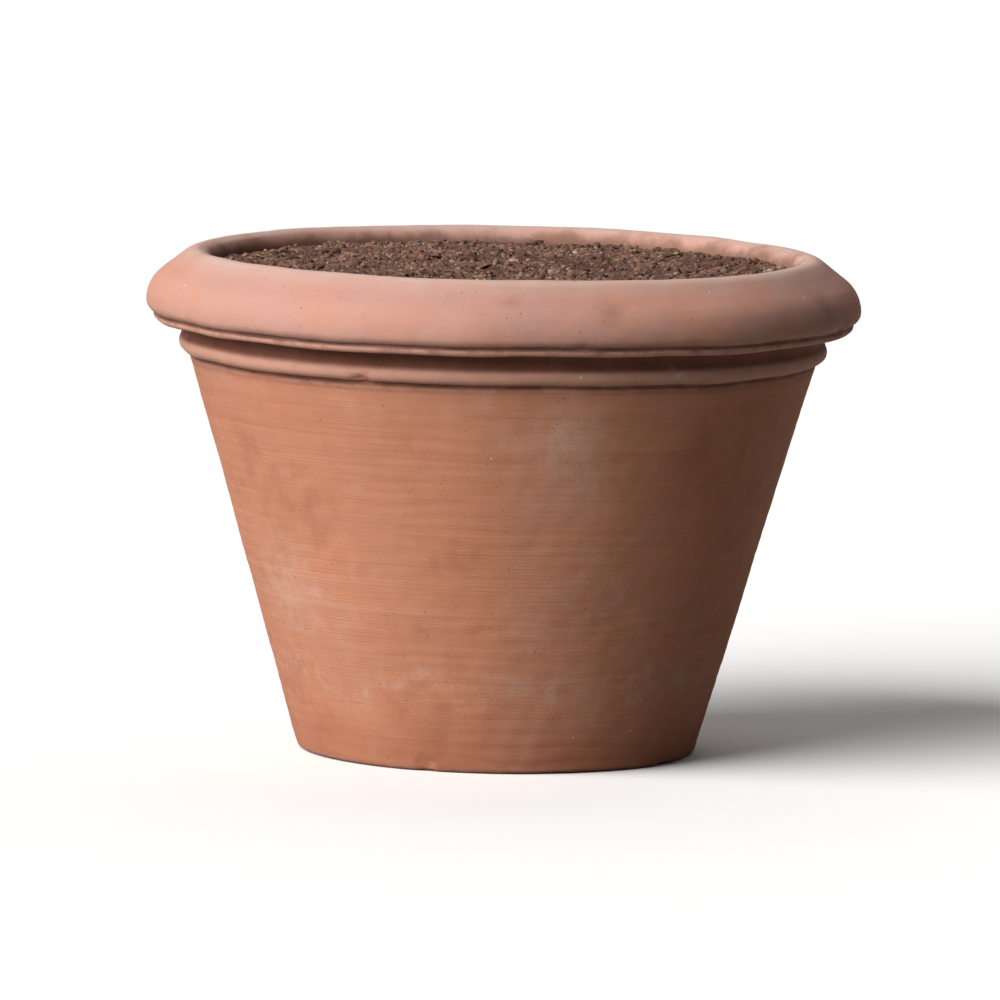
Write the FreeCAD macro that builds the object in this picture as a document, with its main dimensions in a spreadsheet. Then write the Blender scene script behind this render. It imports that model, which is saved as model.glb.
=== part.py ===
"""Rolled-rim terracotta pot, planted up: fired shell, crocks, clay pebbles, fleece and compost.

The pot stands on z = 0 with its axis on Z. Every length is in millimetres and comes from the
sheet "Sizes"; heights near the rim are kept as drops below the crest of the rim.
"""

import FreeCAD
import Part
import Sketcher
import math
import os

Vector = FreeCAD.Vector
Z_AXIS = Vector(0, 0, 1)

SIZES = {
    # overall
    "height": 350,
    "rim_radius": 250,
    "crest_radius": 215,
    # rolled rim: a small inner roll, a sloping shoulder, a belly and a tight lip below it
    "inner_roll": 13,
    "shoulder_radius": 26,
    "shoulder_turn": 52.3,
    "belly_drop": 36.4,
    "lip_radius": 9,
    "lip_turn": 53,
    # bead under the lip, hollow and cordon
    "groove_radius": 244.2,
    "groove_drop": 44.7,
    "bead_foot_radius": 239.6,
    "bead_foot_drop": 50.6,
    "bead_round": 4.1,
    "hollow_round": 9.1,
    "cordon_top_radius": 226,
    "cordon_top_drop": 62,
    "cordon_foot_radius": 219.8,
    "cordon_foot_drop": 72.5,
    "cordon_round": 7.4,
    "crease_round": 1.3,
    # tapered wall
    "wall_top_radius": 219,
    "wall_top_drop": 74.7,
    "wall_taper": 16.2,
    "wall_width": 20.5,
    # floor and foot
    "floor_top": 26,
    "floor_corner": 16,
    "foot_round": 4,
    "foot_ring_width": 27,
    "recess_depth": 4,
    "recess_slope": 3,
    "drain_radius": 20,
    "drain_chamfer": 1.5,
    # crocks over the drain hole
    "crock_thickness": 9,
    "crock_end_gap": 0.5,
    "crock_spread": 1.18,
    # pebble layer, fleece and compost
    "pebble_depth": 50,
    "hollow_radius": 112,
    "hollow_crown_radius": 72,
    "hollow_height": 40,
    "fleece_thickness": 2,
    "fleece_upturn": 22,
    "compost_edge_drop": 11,
    "compost_crown_drop": 6,
}

# Broken shards of an old pot: bend radius, length and width of each.
CROCK_SIZES = {
    "crock_over_drain": (78, 92, 84),
    "crock_left": (104, 54, 34),
    "crock_right": (96, 50, 36),
    "crock_front": (120, 52, 34),
    "crock_back": (88, 50, 36),
}

# Place of each shard on the floor (x, y) and its heading in degrees.
CROCK_PLACES = {
    "crock_over_drain": (2, -2, 18),
    "crock_left": (-73, 14, 8),
    "crock_right": (74, -20, -14),
    "crock_front": (-18, -73, 80),
    "crock_back": (24, 73, 66),
}

# Broken outline of each shard: how far each corner reaches, as a share of the half size.
CROCK_CORNERS = {
    "crock_over_drain": (0.96, 0.78, 1.0, 0.84, 0.98, 0.76, 0.90),
    "crock_left": (1.0, 0.82, 0.90, 0.72, 0.95),
    "crock_right": (0.86, 1.0, 0.76, 0.93, 0.82, 0.97),
    "crock_front": (0.97, 0.80, 1.0, 0.85, 0.76),
    "crock_back": (0.82, 1.0, 0.92, 0.74, 0.99, 0.78),
}

# Share of a shard's slice that its broken outline may leave.
LEAST_LEFT = 0.5
MOST_LEFT = 0.99

# How closely two lengths, in millimetres, and two volumes, in cubic millimetres, have to agree.
LENGTH_TOLERANCE = 0.05
VOLUME_TOLERANCE = 1
SMALLEST_OFFSET = 1e-9

CUBIC_MM_PER_LITRE = 1e6


# ---------------------------------------------------------------- sheet and expressions


def make_sheet(doc):
    """The driving dimensions, one aliased cell each."""
    sheet = doc.addObject("Spreadsheet::Sheet", "Sizes")
    cells = dict(SIZES)
    for name, sizes in CROCK_SIZES.items():
        for measure, value in zip(("bend", "length", "width"), sizes):
            cells[f"{name}_{measure}"] = value
    for row, (alias, value) in enumerate(cells.items(), start=1):
        sheet.set(f"A{row}", alias.replace("_", " "))
        sheet.set(f"B{row}", str(value))
        sheet.setAlias(f"B{row}", alias)
    doc.recompute()
    return sheet


def cell(name):
    """The expression that reads a cell."""
    return f"Sizes.{name}"


def below_crest(drop):
    """Height of a point that lies a drop below the crest."""
    return f"(Sizes.height - Sizes.{drop})"


def outer_wall(z):
    """Outer radius of the tapered wall at height z."""
    rise = f"Sizes.height - Sizes.wall_top_drop - {z}"
    return f"(Sizes.wall_top_radius - tan(Sizes.wall_taper) * ({rise}))"


def inner_wall(z):
    """Inner radius of the tapered wall at height z."""
    return f"({outer_wall(z)} - Sizes.wall_width)"


def inner_face(top):
    """The clay's inside from the floor up to a height above the collar: taper, then upright."""
    inside = "(Sizes.crest_radius - Sizes.inner_roll)"
    lean = f"({inside} + Sizes.wall_width - Sizes.wall_top_radius) / tan(Sizes.wall_taper)"
    return [(inside, top), (inside, f"(Sizes.height - Sizes.wall_top_drop + {lean})")]


def value_of(doc, expression):
    """The number that an expression gives, without its unit."""
    found = doc.Sizes.evalExpression(expression)
    return float(getattr(found, "Value", found))


# ---------------------------------------------------------------- sketches and bodies


def new_body(doc, name):
    body = doc.addObject("PartDesign::Body", name)
    body.Label = name
    return body


def new_sketch(body, name, role):
    """A sketch on one of the body's own origin planes."""
    plane = next(f for f in body.Origin.OriginFeatures if f.Role == role)
    sketch = body.newObject("Sketcher::SketchObject", name)
    sketch.AttachmentSupport = [(plane, "")]
    sketch.MapMode = "FlatFace"
    return sketch


def bind_point(sketch, geo, pos, x, y):
    """Ties a point to the expressions x and y, measured from the sketch's origin."""
    for kind, expression, axis in (("DistanceX", x, -2), ("DistanceY", y, -1)):
        value = value_of(sketch.Document, expression)
        if abs(value) < SMALLEST_OFFSET:
            sketch.addConstraint(Sketcher.Constraint("PointOnObject", geo, pos, axis))
            continue
        index = sketch.addConstraint(Sketcher.Constraint(kind, -1, 1, geo, pos, value))
        sketch.setExpression(f"Constraints[{index}]", expression)


def arc_between(start, end, radius, bulge):
    """An arc from start to end. bulge 1 bows it to the right of the way, and -1 to the left."""
    chord = end - start
    middle = (start + end) / 2
    reach = math.sqrt(max(radius**2 - (chord.Length / 2) ** 2, 0))
    right = Vector(chord.y, -chord.x, 0).normalize()
    centre = middle - right * reach * bulge
    first, last = (start, end) if bulge > 0 else (end, start)
    angles = [math.atan2(p.y - centre.y, p.x - centre.x) for p in (first, last)]
    return Part.ArcOfCircle(Part.Circle(centre, Z_AXIS, radius), *angles)


def draw_loop(sketch, corners):
    """Draws a closed outline. Each corner is (x, y) or (x, y, radius, bulge), where the last two
    turn the side that leaves the corner into an arc."""
    doc = sketch.Document
    at = [Vector(value_of(doc, c[0]), value_of(doc, c[1]), 0) for c in corners]
    sides = []
    for n, corner in enumerate(corners):
        start, end = at[n], at[(n + 1) % len(at)]
        if len(corner) == 2:
            geo = sketch.addGeometry(Part.LineSegment(start, end))
            sides.append((geo, 1, 2))
            continue
        radius, bulge = corner[2:]
        geo = sketch.addGeometry(arc_between(start, end, value_of(doc, radius), bulge))
        sides.append((geo, 1, 2) if bulge > 0 else (geo, 2, 1))
    for n, (geo, first, last) in enumerate(sides):
        following = sides[(n + 1) % len(sides)]
        sketch.addConstraint(
            Sketcher.Constraint("Coincident", geo, last, following[0], following[1])
        )
    for n, corner in enumerate(corners):
        bind_point(sketch, sides[n][0], sides[n][1], corner[0], corner[1])
        if len(corner) > 2:
            radius = value_of(doc, corner[2])
            index = sketch.addConstraint(Sketcher.Constraint("Radius", sides[n][0], radius))
            sketch.setExpression(f"Constraints[{index}]", corner[2])


def revolve(body, name, corners):
    """A full turn about Z of an outline drawn in the XZ plane."""
    sketch = new_sketch(body, f"{name}_outline", "XZ_Plane")
    draw_loop(sketch, corners)
    feature = body.newObject("PartDesign::Revolution", name)
    feature.Profile = sketch
    feature.ReferenceAxis = (sketch, ["V_Axis"])
    feature.Angle = 360
    sketch.Visibility = False
    body.Document.recompute()
    return feature


def ring_edges(feature, radius, height):
    """Names of the feature's round edges about Z with that radius and height."""
    names = []
    for n, edge in enumerate(feature.Shape.Edges, start=1):
        if not isinstance(edge.Curve, Part.Circle):
            continue
        centre = edge.Curve.Center
        offsets = (centre.x, centre.y, edge.Curve.Radius - radius, centre.z - height)
        if max(abs(offset) for offset in offsets) < LENGTH_TOLERANCE:
            names.append(f"Edge{n}")
    if not names:
        raise ValueError(f"no round edge of radius {radius} at height {height}")
    return names


def round_edge(body, base, name, radius_expression, height_expression, size):
    """Fillets the round edge at that radius and height by the cell size."""
    doc = body.Document
    edges = ring_edges(base, value_of(doc, radius_expression), value_of(doc, height_expression))
    fillet = body.newObject("PartDesign::Fillet", name)
    fillet.Base = (base, edges)
    fillet.setExpression("Radius", cell(size))
    doc.recompute()
    return fillet


# ---------------------------------------------------------------- the sub-parts


def make_pot(doc):
    """The fired shell: one piece of clay with rolled rim, cordon, tapered wall and pierced floor."""
    body = new_body(doc, "terracotta_pot")
    ring_inside = f"({outer_wall('0')} - Sizes.foot_ring_width)"
    lip_arris = (
        "(Sizes.rim_radius - Sizes.lip_radius * (1 - cos(Sizes.lip_turn)))",
        f"({below_crest('belly_drop')} - Sizes.lip_radius * sin(Sizes.lip_turn))",
    )
    shoulder_top = (
        "(Sizes.rim_radius - Sizes.shoulder_radius * (1 - cos(Sizes.shoulder_turn)))",
        f"({below_crest('belly_drop')} + Sizes.shoulder_radius * sin(Sizes.shoulder_turn))",
    )
    slope_top = (
        "(Sizes.crest_radius + Sizes.inner_roll * cos(Sizes.shoulder_turn))",
        "(Sizes.height - Sizes.inner_roll * (1 - sin(Sizes.shoulder_turn)))",
    )
    revolution = revolve(
        body,
        "turned_clay",
        [
            ("0", cell("recess_depth")),
            (f"({ring_inside} - Sizes.recess_slope)", cell("recess_depth")),
            (ring_inside, "0"),
            (outer_wall("0"), "0"),
            (
                cell("wall_top_radius"),
                below_crest("wall_top_drop"),
                cell("crease_round"),
                -1,
            ),
            (
                cell("cordon_foot_radius"),
                below_crest("cordon_foot_drop"),
                cell("cordon_round"),
                1,
            ),
            (
                cell("cordon_top_radius"),
                below_crest("cordon_top_drop"),
                cell("hollow_round"),
                -1,
            ),
            (cell("bead_foot_radius"), below_crest("bead_foot_drop"), cell("bead_round"), 1),
            (cell("groove_radius"), below_crest("groove_drop")),
            (*lip_arris, cell("lip_radius"), 1),
            (cell("rim_radius"), below_crest("belly_drop"), cell("shoulder_radius"), 1),
            shoulder_top,
            (*slope_top, cell("inner_roll"), 1),
            (cell("crest_radius"), cell("height"), cell("inner_roll"), 1),
            *inner_face(below_crest("inner_roll")),
            (inner_wall(cell("floor_top")), cell("floor_top")),
            ("0", cell("floor_top")),
        ],
    )
    cornered = round_edge(
        body,
        revolution,
        "floor_corner_round",
        inner_wall(cell("floor_top")),
        cell("floor_top"),
        "floor_corner",
    )
    footed = round_edge(body, cornered, "foot_edge_round", outer_wall("0"), "0", "foot_round")
    pierce_floor(body, footed)
    return body


def pierce_floor(body, base):
    """The drain hole through the floor, with its two edges broken."""
    doc = body.Document
    sketch = new_sketch(body, "drain_outline", "XY_Plane")
    circle = sketch.addGeometry(Part.Circle(Vector(0, 0, 0), Z_AXIS, SIZES["drain_radius"]))
    sketch.addConstraint(Sketcher.Constraint("Coincident", circle, 3, -1, 1))
    index = sketch.addConstraint(Sketcher.Constraint("Radius", circle, SIZES["drain_radius"]))
    sketch.setExpression(f"Constraints[{index}]", cell("drain_radius"))
    before = base.Shape.Volume
    pocket = body.newObject("PartDesign::Pocket", "drain_hole")
    pocket.Profile = sketch
    pocket.Reversed = True
    pocket.setExpression("Length", cell("floor_top"))
    sketch.Visibility = False
    doc.recompute()
    floor = SIZES["floor_top"] - SIZES["recess_depth"]
    removed = math.pi * SIZES["drain_radius"] ** 2 * floor
    if abs(before - pocket.Shape.Volume - removed) > VOLUME_TOLERANCE:
        raise ValueError("the drain hole doesn't go through the floor")
    edges = [
        name
        for height in (SIZES["recess_depth"], SIZES["floor_top"])
        for name in ring_edges(pocket, SIZES["drain_radius"], height)
    ]
    chamfer = body.newObject("PartDesign::Chamfer", "drain_edges_broken")
    chamfer.Base = (pocket, edges)
    chamfer.setExpression("Size", cell("drain_chamfer"))
    doc.recompute()


def make_crock(doc, name):
    """One shard: a slice of a curved wall, broken to an uneven outline, lying hollow side down."""
    body = new_body(doc, name)
    bend, length, width = (cell(f"{name}_{measure}") for measure in ("bend", "length", "width"))
    inner = f"({bend} - Sizes.crock_thickness)"
    lean = f"({width} / (2 * {bend}))"
    back = f"(Sizes.crock_thickness * sqrt(1 - {lean} * {lean}))"
    section = new_sketch(body, f"{name}_section", "XZ_Plane")
    draw_loop(
        section,
        [
            (f"-{inner} * {lean}", "0", inner, -1),
            (f"{inner} * {lean}", "0"),
            (f"{width} / 2", back, bend, 1),
            (f"-{width} / 2", back),
        ],
    )
    pad = body.newObject("PartDesign::Pad", f"{name}_slice")
    pad.Profile = section
    pad.setExpression("Length", length)
    pad.Midplane = True
    section.Visibility = False
    doc.recompute()
    break_outline(body, pad, bend, length, width)
    x, y, heading = CROCK_PLACES[name]
    floor = SIZES["floor_top"] + SIZES["crock_end_gap"]
    body.Placement = FreeCAD.Placement(Vector(x, y, floor), FreeCAD.Rotation(Z_AXIS, heading))
    return body


def break_outline(body, pad, bend, length, width):
    """Cuts away everything outside the shard's uneven polygon."""
    outline = new_sketch(body, f"{body.Name}_break", "XY_Plane")
    beyond = f"({length} + {width})"
    frame = [(-1, -1), (1, -1), (1, 1), (-1, 1)]
    draw_loop(outline, [(f"{x} * {beyond}", f"{y} * {beyond}") for x, y in frame])
    shares = CROCK_CORNERS[body.Name]
    step = 360 / len(shares)
    reach = [f"{share} * Sizes.crock_spread / 2" for share in shares]
    draw_loop(
        outline,
        [
            (
                f"{reach[n]} * cos({step * n:.4f} deg) * {width}",
                f"{reach[n]} * sin({step * n:.4f} deg) * {length}",
            )
            for n in range(len(shares))
        ],
    )
    before = pad.Shape.Volume
    pocket = body.newObject("PartDesign::Pocket", f"{body.Name}_broken")
    pocket.Profile = outline
    pocket.Midplane = True
    pocket.setExpression("Length", f"2 * {bend}")
    outline.Visibility = False
    body.Document.recompute()
    if not LEAST_LEFT * before < pocket.Shape.Volume < MOST_LEFT * before:
        raise ValueError(f"{body.Name} isn't broken to its outline")


def make_pebbles(doc):
    """The layer of expanded-clay pebbles, domed over the crocks."""
    body = new_body(doc, "drainage_pebbles")
    top = "(Sizes.floor_top + Sizes.pebble_depth)"
    crown = "(Sizes.floor_top + Sizes.hollow_height)"
    revolution = revolve(
        body,
        "pebble_layer",
        [
            (cell("hollow_radius"), cell("floor_top")),
            (inner_wall(cell("floor_top")), cell("floor_top")),
            (inner_wall(top), top),
            ("0", top),
            ("0", crown),
            (cell("hollow_crown_radius"), crown),
        ],
    )
    round_edge(
        body,
        revolution,
        "pebble_corner_round",
        inner_wall(cell("floor_top")),
        cell("floor_top"),
        "floor_corner",
    )
    return body


def make_fleece(doc):
    """The fleece disc between pebbles and compost, its edge turned up against the wall."""
    body = new_body(doc, "separator_fleece")
    bottom = "(Sizes.floor_top + Sizes.pebble_depth)"
    inside = f"({bottom} + Sizes.fleece_thickness)"
    edge = f"({bottom} + Sizes.fleece_upturn)"
    revolve(
        body,
        "fleece_disc",
        [
            ("0", bottom),
            (inner_wall(bottom), bottom),
            (inner_wall(edge), edge),
            (f"({inner_wall(edge)} - Sizes.fleece_thickness)", edge),
            (f"({inner_wall(inside)} - Sizes.fleece_thickness)", inside),
            ("0", inside),
        ],
    )
    return body


def make_compost(doc):
    """The compost: it fills the pot from the fleece to just under the rim, a little crowned."""
    body = new_body(doc, "potting_compost")
    bottom = "(Sizes.floor_top + Sizes.pebble_depth + Sizes.fleece_thickness)"
    step = "(Sizes.floor_top + Sizes.pebble_depth + Sizes.fleece_upturn)"
    edge, collar = inner_face(below_crest("compost_edge_drop"))
    rise = "(Sizes.compost_edge_drop - Sizes.compost_crown_drop)"
    crown_radius = f"(({edge[0]} * {edge[0]} + {rise} * {rise}) / (2 * {rise}))"
    revolve(
        body,
        "compost_fill",
        [
            ("0", bottom),
            (f"({inner_wall(bottom)} - Sizes.fleece_thickness)", bottom),
            (f"({inner_wall(step)} - Sizes.fleece_thickness)", step),
            (inner_wall(step), step),
            collar,
            (*edge, crown_radius, 1),
            ("0", below_crest("compost_crown_drop")),
        ],
    )
    return body


# ---------------------------------------------------------------- build and export


def check(doc, bodies):
    """Stops the build if any object failed or a sub-part isn't one sound solid."""
    for thing in doc.Objects:
        if {"Invalid", "Error"} & set(thing.State):
            raise ValueError(f"{thing.Name} failed: {thing.State}")
    for body in bodies:
        shape = body.Shape
        if shape.isNull() or not shape.isValid() or len(shape.Solids) != 1:
            raise ValueError(f"{body.Label} isn't one valid solid")
        litres = shape.Volume / CUBIC_MM_PER_LITRE
        print(f"{body.Label}: {litres:.3f} litres, top at {shape.BoundBox.ZMax:.1f} mm")


def main():
    doc = FreeCAD.newDocument("terracotta_pot")
    make_sheet(doc)
    bodies = [make_pot(doc)]
    bodies += [make_crock(doc, name) for name in CROCK_SIZES]
    bodies += [make_pebbles(doc), make_fleece(doc), make_compost(doc)]
    doc.recompute()
    check(doc, bodies)
    os.makedirs("parts", exist_ok=True)
    for body in bodies:
        body.Shape.exportStep(os.path.join("parts", f"{body.Label}.step"))


main()
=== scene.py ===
"""Looks of a planted terracotta pot: fired shell, compost, fleece, clay pebbles and crocks.

The packed model is the fixed frame. Every length is in metres, in the frame's own axes: the pot
stands on z = 0 and its axis is Z. Bearings go round the pot from its front, which is -Y, in
degrees, with the right-hand side positive.
"""

import math

import bmesh
import bpy
import numpy as np
from bpy.props import FloatProperty, FloatVectorProperty, IntProperty, PointerProperty
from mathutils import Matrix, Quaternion, Vector
from mathutils.bvhtree import BVHTree
from mathutils.kdtree import KDTree


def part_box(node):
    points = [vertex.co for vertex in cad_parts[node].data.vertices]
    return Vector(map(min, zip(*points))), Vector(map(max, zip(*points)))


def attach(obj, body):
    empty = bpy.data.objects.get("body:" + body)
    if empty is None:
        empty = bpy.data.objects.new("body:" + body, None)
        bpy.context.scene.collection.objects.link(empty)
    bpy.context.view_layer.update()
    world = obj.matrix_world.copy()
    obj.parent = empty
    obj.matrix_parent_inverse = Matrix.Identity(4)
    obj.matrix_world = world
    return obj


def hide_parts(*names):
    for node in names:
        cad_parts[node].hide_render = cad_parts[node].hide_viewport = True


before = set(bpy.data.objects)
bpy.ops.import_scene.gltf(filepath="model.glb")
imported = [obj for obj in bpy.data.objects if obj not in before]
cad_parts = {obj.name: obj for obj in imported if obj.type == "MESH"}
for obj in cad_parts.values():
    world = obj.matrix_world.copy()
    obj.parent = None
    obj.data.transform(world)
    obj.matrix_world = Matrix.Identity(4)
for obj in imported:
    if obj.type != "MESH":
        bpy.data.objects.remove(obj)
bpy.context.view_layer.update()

bl_info = {
    "name": "Planted terracotta pot",
    "version": (1, 0, 0),
    "blender": (4, 5, 0),
    "location": "View3D > Sidebar > Pot",
    "description": "Builds a rolled-rim terracotta pot with its fill, round a packed frame",
    "category": "Add Mesh",
}

SHELL_LOW, SHELL_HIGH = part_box("terracotta_pot")
COMPOST_LOW, COMPOST_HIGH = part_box("potting_compost")
FLEECE_LOW, FLEECE_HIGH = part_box("separator_fleece")
PEBBLES_LOW, PEBBLES_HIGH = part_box("drainage_pebbles")
CROCKS = [name for name in sorted(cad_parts) if name.startswith("crock_")]

# Two points closer than this are one point.
WELD = 1e-6


# ---------------------------------------------------------------- settings


def length(name, description, default):
    return FloatProperty(
        name=name, description=description, default=default, unit="LENGTH", precision=5
    )


def colour(name, description, default):
    return FloatVectorProperty(
        name=name, description=description, default=default, subtype="COLOR", min=0, max=1
    )


def count(name, description, default):
    return IntProperty(name=name, description=description, default=default, min=1)


class ShellSettings(bpy.types.PropertyGroup):
    """How finely the fired shell is meshed, and how uneven the maker's hands left it."""

    columns: count("Columns", "Mesh columns round the pot", 336)
    fine_step: length("Fine step", "Row spacing over the mouldings under the rim", 0.0009)
    roll_step: length("Roll step", "Row spacing over the rolled rim", 0.0022)
    wall_step: length("Wall step", "Row spacing down the outer wall", 0.0026)
    hidden_step: length("Hidden step", "Row spacing inside the pot and under it", 0.008)
    moulding_foot: length("Moulding foot", "Height where the mouldings end and the wall starts", 0.274)
    roll_foot: length("Roll foot", "Height of the rolled rim's lowest edge", 0.2985)
    hollow_foot: length("Hollow foot", "Height where the hollow under the rim ends", 0.2885)
    ovality: length("Ovality", "How far the round rim is pressed out of true", 0.0007)
    waviness: length("Waviness", "How far the mouldings wander up and down", 0.0009)
    ridge_pitch: length("Ridge pitch", "Spacing of the turning ridges", 0.0094)
    ridge_depth: length("Ridge depth", "Depth of the turning ridges", 0.00024)
    hand_depth: length("Hand depth", "Depth of the broad unevenness in the clay", 0.0006)


class ClaySettings(bpy.types.PropertyGroup):
    """Colours of the fired clay."""

    clay: colour("Clay", "The body of the fired clay", (0.560, 0.225, 0.120))
    # deep clay is also the painted shade in the hollow under the rim
    deep: colour("Deep clay", "Harder-fired and damp patches", (0.39, 0.130, 0.068))
    # pale clay is also the painted light on the cordon
    pale: colour("Pale clay", "Rubbed and lightly fired patches", (0.640, 0.335, 0.240))
    # bloom is also the painted top light on the shell's faces that look up
    bloom: colour("Bloom", "Dry pinkish bloom on the rim and cordon", (0.500, 0.275, 0.228))
    lime: colour("Lime", "Specks and tide marks of lime", (0.78, 0.70, 0.63))
    # stain is also the painted shade in the creases and in the hollow under the rim
    stain: colour("Stain", "Dark splashes, pores and handling marks", (0.125, 0.046, 0.030))
    fresh: colour("Fresh break", "Clay laid bare by a chip", (0.56, 0.20, 0.10))
    # weathered clay is also the painted highlight along the crest's edge
    weathered: colour("Weathered clay", "Grey-bleached clay on the crest", (0.55, 0.425, 0.375))


class CompostSettings(bpy.types.PropertyGroup):
    """Amounts and colours of the compost."""

    clumps: count("Clumps", "Rounded clumps lying on the compost", 2300)
    crumbs: count("Crumbs", "Fine crumbs between the clumps", 9400)
    chips: count("Bark chips", "Flat slips of composted bark", 420)
    grit: count("Grit", "Grains of grit and perlite", 460)
    roots: count("Root fibres", "Fine dry root fibres", 46)
    bed_cells: count("Bed cells", "Mesh cells across the compost's surface", 288)
    bed_relief: length("Bed relief", "Height of the lumps in the compost's surface", 0.0026)
    dark: colour("Dark crumb", "Damp crumbs", (0.050, 0.024, 0.017))
    brown: colour("Brown crumb", "Most of the crumbs", (0.160, 0.083, 0.055))
    red: colour("Red crumb", "Clay-red crumbs", (0.32, 0.138, 0.094))
    pink: colour("Pink crumb", "Dry pinkish crumbs", (0.50, 0.345, 0.285))
    green: colour("Green crumb", "Mossy and olive bits", (0.20, 0.195, 0.095))
    straw: colour("Straw", "Fibres and bark ends", (0.46, 0.33, 0.165))


class InsideSettings(bpy.types.PropertyGroup):
    """The layers below the compost."""

    pebbles: count("Pebbles", "Expanded-clay pebbles", 900)
    pebble_small: length("Small pebble", "Radius of the smallest pebbles", 0.0045)
    pebble_large: length("Large pebble", "Radius of the largest pebbles", 0.0078)
    pebble_skin: colour("Pebble skin", "Fired skin of the pebbles", (0.30, 0.135, 0.08))
    pebble_core: colour("Pebble core", "Dark pores and cracks of the pebbles", (0.075, 0.042, 0.032))
    fleece_gauge: length("Fleece gauge", "Thickness of the fleece", 0.0009)
    fleece_white: colour("Fleece", "Colour of the felted fibres", (0.74, 0.73, 0.69))
    crock_step: length("Crock step", "Mesh spacing over the crocks", 0.0014)


class StageSettings(bpy.types.PropertyGroup):
    """Floor, lights and camera."""

    floor_size: length("Floor size", "Side of the floor", 160.0)
    floor_colour: colour("Floor", "Plain pale floor", (0.985, 0.98, 0.97))
    view_distance: length("View distance", "From the camera to the rim", 8.0)
    view_drop: FloatProperty(
        name="View drop",
        description="Angle below the horizon at which the camera sees the rim",
        default=math.radians(5.3),
        subtype="ANGLE",
    )
    view_roll: FloatProperty(
        name="View roll",
        description="How far the camera leans to its left",
        default=math.radians(1.1),
        subtype="ANGLE",
    )
    frame_width: length("Frame width", "Width of the picture at the pot", 0.70)
    key_strength: FloatProperty(name="Key", description="Strength of the key light", default=4.75)
    fill_strength: FloatProperty(name="Fill", description="Strength of the fill", default=0.085)


# ---------------------------------------------------------------- meshes


def new_mesh(name, points, faces):
    """A mesh from rows of points and rows of faces that all have the same number of corners."""
    mesh = bpy.data.meshes.new(name)
    corners = faces.shape[1]
    mesh.vertices.add(len(points))
    mesh.vertices.foreach_set("co", points.astype(np.float32).ravel())
    mesh.loops.add(faces.size)
    mesh.loops.foreach_set("vertex_index", faces.astype(np.int32).ravel())
    mesh.polygons.add(len(faces))
    mesh.polygons.foreach_set("loop_start", np.arange(0, faces.size, corners, dtype=np.int32))
    mesh.update(calc_edges=True)
    mesh.validate()
    return mesh


def add_piece(name, mesh, material, replaces=(), smooth=True):
    """Puts a mesh in the scene as a piece that rides on the pot."""
    mesh.polygons.foreach_set("use_smooth", [smooth] * len(mesh.polygons))
    mesh.materials.clear()
    mesh.materials.append(material)
    piece = bpy.data.objects.new(name, mesh)
    bpy.context.scene.collection.objects.link(piece)
    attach(piece, "root")
    if replaces:
        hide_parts(*replaces)
    return piece


def set_values(mesh, **values):
    """Stores one number per point under each name, for the materials to read."""
    for name, numbers in values.items():
        attribute = mesh.attributes.new(name, "FLOAT", "POINT")
        attribute.data.foreach_set("value", np.asarray(numbers, np.float32).ravel())


def turn_outwards(mesh, mend=None):
    """Turns every face outwards, after mend(work), if given, has closed what is open."""
    work = bmesh.new()
    work.from_mesh(mesh)
    if mend:
        mend(work)
    bmesh.ops.recalc_face_normals(work, faces=work.faces)
    work.to_mesh(mesh)
    work.free()


def ripple(points, wavelength, seed, waves=14):
    """Smooth noise of about -1 to 1, with bumps about a wavelength apart."""
    rng = np.random.default_rng(seed)
    headings = rng.normal(size=(waves, points.shape[-1]))
    headings /= np.linalg.norm(headings, axis=1, keepdims=True)
    headings *= 2 * math.pi / wavelength * rng.uniform(0.6, 1.5, (waves, 1))
    phases = rng.uniform(0, 2 * math.pi, waves)
    total = np.zeros(points.shape[:-1])
    for heading, phase in zip(headings, phases):
        total += np.sin(points @ heading + phase)
    return total * math.sqrt(1.0 / waves)


def seam_outline(node):
    """Outline of a turned CAD node as rows of radius and height, read along its seam at y = 0.
    It starts at the lowest, widest point of the seam and goes up the outside."""
    work = bmesh.new()
    work.from_mesh(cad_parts[node].data)
    bmesh.ops.remove_doubles(work, verts=work.verts, dist=WELD)
    links = {}
    for edge in work.edges:
        if all(abs(v.co.y) < WELD and v.co.x > -WELD for v in edge.verts):
            one, other = edge.verts
            links.setdefault(one.index, []).append(other.index)
            links.setdefault(other.index, []).append(one.index)
    work.verts.ensure_lookup_table()
    at = {n: (work.verts[n].co.x, work.verts[n].co.z) for n in links}
    work.free()
    start = min(links, key=lambda n: (round(at[n][1], 6), -at[n][0]))
    path = [start, max(links[start], key=lambda n: at[n][1])]
    while True:
        onward = [n for n in links[path[-1]] if n != path[-2]]
        if not onward or onward[0] == start:
            return np.array([at[n] for n in path])
        path.append(onward[0])


# Spacing at which an outline is measured before its points are spread along it.
MEASURING_STEP = 0.0001


def resample(outline, step_of):
    """Points along a closed outline, spaced as step_of(radius, height) asks, with softened
    corners, and how far along it each lies."""
    ring = np.vstack([outline, outline[:1]])
    lengths = np.linalg.norm(np.diff(ring, axis=0), axis=1)
    along = np.concatenate([[0], np.cumsum(lengths)])
    fine = np.arange(0, along[-1], MEASURING_STEP)
    at = np.stack([np.interp(fine, along, ring[:, k]) for k in (0, 1)], axis=1)
    need = np.concatenate([[0], np.cumsum(MEASURING_STEP / step_of(at[:-1, 0], at[:-1, 1]))])
    wanted = np.linspace(0, need[-1], int(round(need[-1])), endpoint=False)
    places = np.interp(wanted, need, fine)
    made = np.stack([np.interp(places, fine, at[:, k]) for k in (0, 1)], axis=1)
    return 0.5 * made + 0.25 * (np.roll(made, 1, axis=0) + np.roll(made, -1, axis=0)), places


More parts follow.
